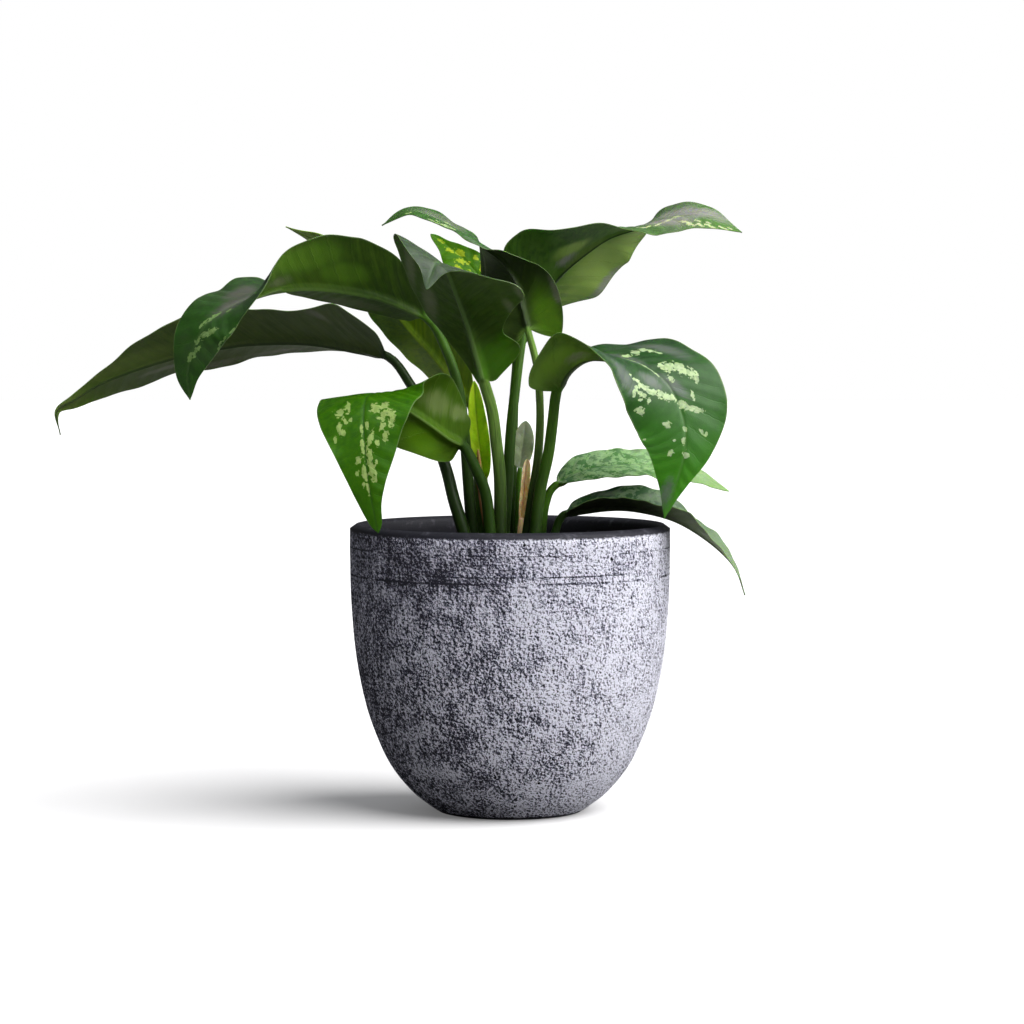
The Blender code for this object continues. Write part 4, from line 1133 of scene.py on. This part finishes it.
frontLeft = {
    "name": "frontLeftLeaf", "node": "leaf_front_left", "bladeSteps": 230, "acrossHalf": 36,
    "petiole": [(-10, -11, 132), (-10, -11, 140), (-12, -11, 159), (-17, -12, 172)],
    "blade": [
        (-23, -12, 183, -0.2, 0.9, 0.3, 5, 5), (-32, -17, 188, -0.5, 0.75, 0.25, 5, 5),
        (-42, -24, 196, -0.5, 0.7, 0.4, 5, 5), (-54, -33, 205, -0.4, 0.5, 0.75, 3, 3),
        (-64, -45, 210, -0.15, 0, 1, 0, 0), (-69, -60, 208, -0.05, -0.5, 0.85, 0, -5),
        (-70, -70, 198, -0.05, -0.9, 0.4, 0, 0), (-69, -75, 184, 0, -0.98, 0.15, 0, 0),
        (-67, -76, 165, 0, -1, 0.05, 0, 0), (-63, -73, 144, 0, -1, 0, 0, 0),
    ],
    "margins": [
        (0, 1, 0.8), (0.1, 1, 0.72), (0.2, 1.05, 0.8), (0.27, 1, 0.9), (0.33, 0.85, 0.95), (0.42, 1, 1),
        (0.6, 0.98, 1), (0.68, 0.88, 0.92), (0.76, 0.78, 0.82), (0.85, 0.62, 0.72), (0.93, 0.55, 0.75),
        (1, 1, 1),
    ],
    "thick": (3.2, 2.6), "half": (26, 0.45, 0.8), "lobe": 4, "curl": -6, "wave": (1.8, 2, 0.4),
    "patches": [
        (0.585, 0.5, 3, 3.2), (0.567, 0.33, 1.3, 4, 80), (0.62, 0.42, 1.4, 2.4, 60),
        (0.62, 0.29, 1.4, 0.8), (0.645, 0.57, 2.7, 1.3), (0.661, 0.53, 1.4, 2.3, 90),
        (0.682, 0.77, 2.1, 0.9), (0.575, -0.24, 3.4, 3, 30), (0.56, -0.42, 2.6, 3),
        (0.603, -0.6, 4.6, 2.4, 20), (0.608, -0.44, 1.5, 4, 80), (0.632, -0.64, 3.4, 1.4),
        (0.615, -0.35, 1.2, 1.2), (0.648, -0.45, 2.9, 1.4, -20), (0.686, -0.58, 3.2, 1.6, -10),
        (0.705, -0.37, 1.9, 1.2), (0.685, -0.18, 4.6, 1.4, -25), (0.64, -0.08, 3, 0.8),
        (0.655, 0.05, 2.2, 0.8), (0.715, 0.08, 4.4, 1.1), (0.756, 0.28, 2, 1.8),
        (0.745, -0.13, 5.2, 1.6), (0.79, -0.2, 6, 2.2), (0.8, 0.1, 5, 1.4), (0.8, 0.42, 1.9, 0.9),
        (0.835, 0.27, 1.6, 0.8), (0.765, -0.38, 1.3, 0.8), (0.823, -0.38, 1.5, 0.8),
        (0.848, 0.05, 4, 0.8),
    ],
    "gleams": [(0.185, -0.45, 12, 7), (0.09, -0.72, 8, 5)],
    "glows": [(0.14, 0.5, 12, 8)],
    "look": {
        **green, "level": 0.78, "shine": 0.1, "upper": (38, 140, 0), "deep": (20, 92, 0),
        "tip": (30, 115, 0), "bloom": 0, "pale": (290, 400, 120), "ribTone": (20, 60, 10),
        "ribShow": 0.5, "rib": 0.5, "under": (80, 170, 8), "underDeep": (55, 130, 4),
        "underLit": (100, 240, 2), "underSheen": (230, 320, 100), "underRib": (160, 270, 60),
        "underRibShow": 0.6, "petioleTop": (25, 70, 5),
    },
}

behindLeft = {
    "name": "behindLeftLeaf", "node": "leaf_behind_left", "slot": "yellow_green_leaf",
    "petiole": [(-14, 19, 132), (-15, 19, 140), (-16, 22, 170), (-17, 24, 190)],
    "blade": [
        (-21, 26, 205, 0.5, 0.75, 0.4, 10, 10), (-36, 34, 225, 0.45, 0.7, 0.5, 10, 10),
        (-52, 42, 243, 0.4, 0.7, 0.6, 10, 10), (-70, 52, 264, 0.4, 0.7, 0.6, 8, 8),
        (-91, 60, 282, 0.3, 0.4, 0.85, 4, 4), (-116, 66, 294, 0, 0.2, 1, 0, 0),
    ],
    "thick": (3, 2.2), "half": (22, 0.6, 0.9), "curl": -4, "wave": (1.6, 2, 0.6),
    "look": lime,
}

small = {
    **thinLeaf, "name": "smallLeaf", "node": "leaf_small",
    "petiole": [(3.5, 12.5, 132), (3.5, 12.5, 140), (4, 12, 159)],
    "blade": [
        (5, 12, 171, 0, -1, 0.1, 8, 8), (6, 12, 179, 0, -1, 0.1, 8, 8), (7, 12, 186, 0, -1, 0.1, 8, 8),
        (8, 12, 195, 0, -1, 0.2, 0, 0),
    ],
    "thick": (1.5, 1.2), "half": (5.5, 0.5, 0.6), "curl": 0, "wave": (0.2, 1, 0),
    "look": {
        **green, "level": 1, "upper": (500, 580, 360), "deep": (340, 420, 220), "tip": (520, 580, 400),
        "sheen": (500, 550, 400), "veinTone": (400, 500, 280), "ribTone": (360, 440, 240), "bloom": 0.3,
    },
}

lowRight = {
    "name": "lowRightLeaf", "node": "leaf_low_right",
    "petiole": [(15, 4, 132), (16, 4, 140), (18, 4, 154)],
    "blade": [
        (23, 5, 163, -0.3, -0.35, 0.9, 10, 10), (40, 9, 171, 0, -0.35, 0.93, 8, 8),
        (66, 14, 173, 0.1, -0.35, 0.93, 6, 6), (91, 19, 169, 0.2, -0.35, 0.9, 4, 4),
        (111, 24, 159, 0.4, -0.35, 0.85, 0, 0),
    ],
    "thick": (2.6, 1.9), "half": (19, 0.7, 0.9), "curl": -6, "wave": (1.2, 2, 0.2),
    "look": {
        **green, "level": 1, "upper": (50, 180, 35), "deep": (30, 125, 22), "tip": (170, 270, 90),
        "tipFrom": 0.25, "pale": (240, 400, 170), "speckle": 0.67, "marbleTo": 0.5,
        "sheen": (260, 330, 220), "bloom": 0.35,
    },
}

trailing = {
    "name": "trailingLeaf", "node": "leaf_trailing",
    "petiole": [(21, -4, 132), (22.5, -4.5, 140)],
    "blade": [
        (27, -7, 149, -0.3, -0.3, 0.9, 20, 30), (40, -10, 152, -0.1, -0.3, 0.95, 25, 38),
        (55, -13, 153, 0.1, -0.3, 0.95, 25, 40), (69, -16, 151, 0.3, -0.3, 0.9, 25, 40),
        (82, -18, 147, 0.5, -0.25, 0.85, 20, 35), (94, -20, 140, 0.65, -0.2, 0.75, 15, 30),
        (105, -22, 131, 0.75, -0.2, 0.6, 10, 20), (112, -23, 122, 0.85, -0.2, 0.4, 0, 8),
        (116, -24, 110, 0.95, -0.1, 0.2, 0, 0),
    ],
    "thick": (2.6, 1.9), "half": (16.5, 0.6, 1), "curl": -6, "wave": (1.2, 2.5, 0.6),
    "gleams": [(0.2, -0.7, 10, 3), (0.4, -0.6, 10, 3)],
    "look": {
        **green, "level": 1, "upper": (25, 75, 25), "deep": (14, 50, 16), "tip": (160, 220, 120),
        "pale": (110, 170, 90), "speckle": 0.68, "marbleTo": 0.6, "tipFrom": 0.25, "under": (22, 34, 14),
        "underDeep": (12, 22, 9), "underTip": (340, 420, 230), "petioleTop": (20, 50, 8),
    },
}

young = {
    **thinLeaf, "name": "youngLeaf", "node": "leaf_young", "slot": "yellow_green_leaf",
    "petiole": [(-10, 14, 132), (-11, 14, 140), (-13, 14, 154)],
    "blade": [
        (-13, 15, 165, 0, -1, 0.1, 40, 30), (-15, 15, 180, 0, -1, 0.1, 40, 30),
        (-17, 16, 198, 0, -1, 0.1, 40, 30), (-18, 14, 215, 0, -1, 0.1, 20, 20),
    ],
    "thick": (2.4, 1.8), "half": (7, 0.5, 0.7), "curl": 20, "wave": (0.4, 1.5, 0),
    "look": {
        **lime, "level": 1, "upper": (500, 750, 20), "deep": (360, 620, 10), "tip": (500, 750, 30),
        "under": (500, 750, 20), "underDeep": (360, 600, 10), "underTip": (500, 750, 30),
    },
}

strawSheath = {
    **thinLeaf, "name": "strawSheath", "node": "dried_sheath_straw", "slot": "dried_sheath",
    "petiole": [(4.8, 3, 132), (5, 3, 140)],
    "blade": [
        (5.6, 3, 146, 0.1, -1, 0, 25, 25), (6.6, 3, 155, 0.1, -1, 0, 25, 25),
        (7.6, 3, 165, 0.1, -1, 0, 25, 25), (8.6, 3, 176, 0.1, -1, 0, 10, 10),
    ],
    "thick": (1.5, 1.3), "half": (3.1, 0.3, 0.35), "curl": 40, "wave": (0.2, 1.5, 0),
    "look": straw,
}

brownSheath = {
    **thinLeaf, "name": "brownSheath", "node": "dried_sheath_brown", "slot": "dried_sheath",
    "petiole": [(-11, 4, 132), (-12, 4, 140), (-14, 3, 152)],
    "blade": [
        (-15, 3, 160, -0.4, 0.9, 0, 30, 30), (-15, 3, 168, -0.4, 0.9, 0, 30, 30),
        (-15, 3, 174, -0.4, 0.9, 0, 30, 30), (-16, 3, 181, -0.4, 0.9, 0, 20, 20),
    ],
    "thick": (1.3, 1), "half": (2.2, 0.3, 0.6), "curl": 50, "wave": (0.2, 1.5, 0),
    "look": {
        **straw, "upper": (220, 75, 10), "deep": (80, 25, 5), "tip": (220, 80, 12),
        "under": (190, 65, 10), "underDeep": (70, 22, 5), "underTip": (220, 80, 12),
        "sheen": (280, 120, 30), "ribTone": (100, 30, 6), "petioleFoot": (200, 120, 50),
        "petioleTop": (160, 70, 20), "marginTone": (250, 100, 20),
    },
}

leaves = [
    farLeft, upperLeft, centre, top, upperRight, behindTop, right, frontLeft, behindLeft, small,
    lowRight, trailing, young, strawSheath, brownSheath,
]

for number, leaf in enumerate(leaves):
    makeLeaf(number, {**plainLeaf, **leaf})
print("leaves:", len(leaves))
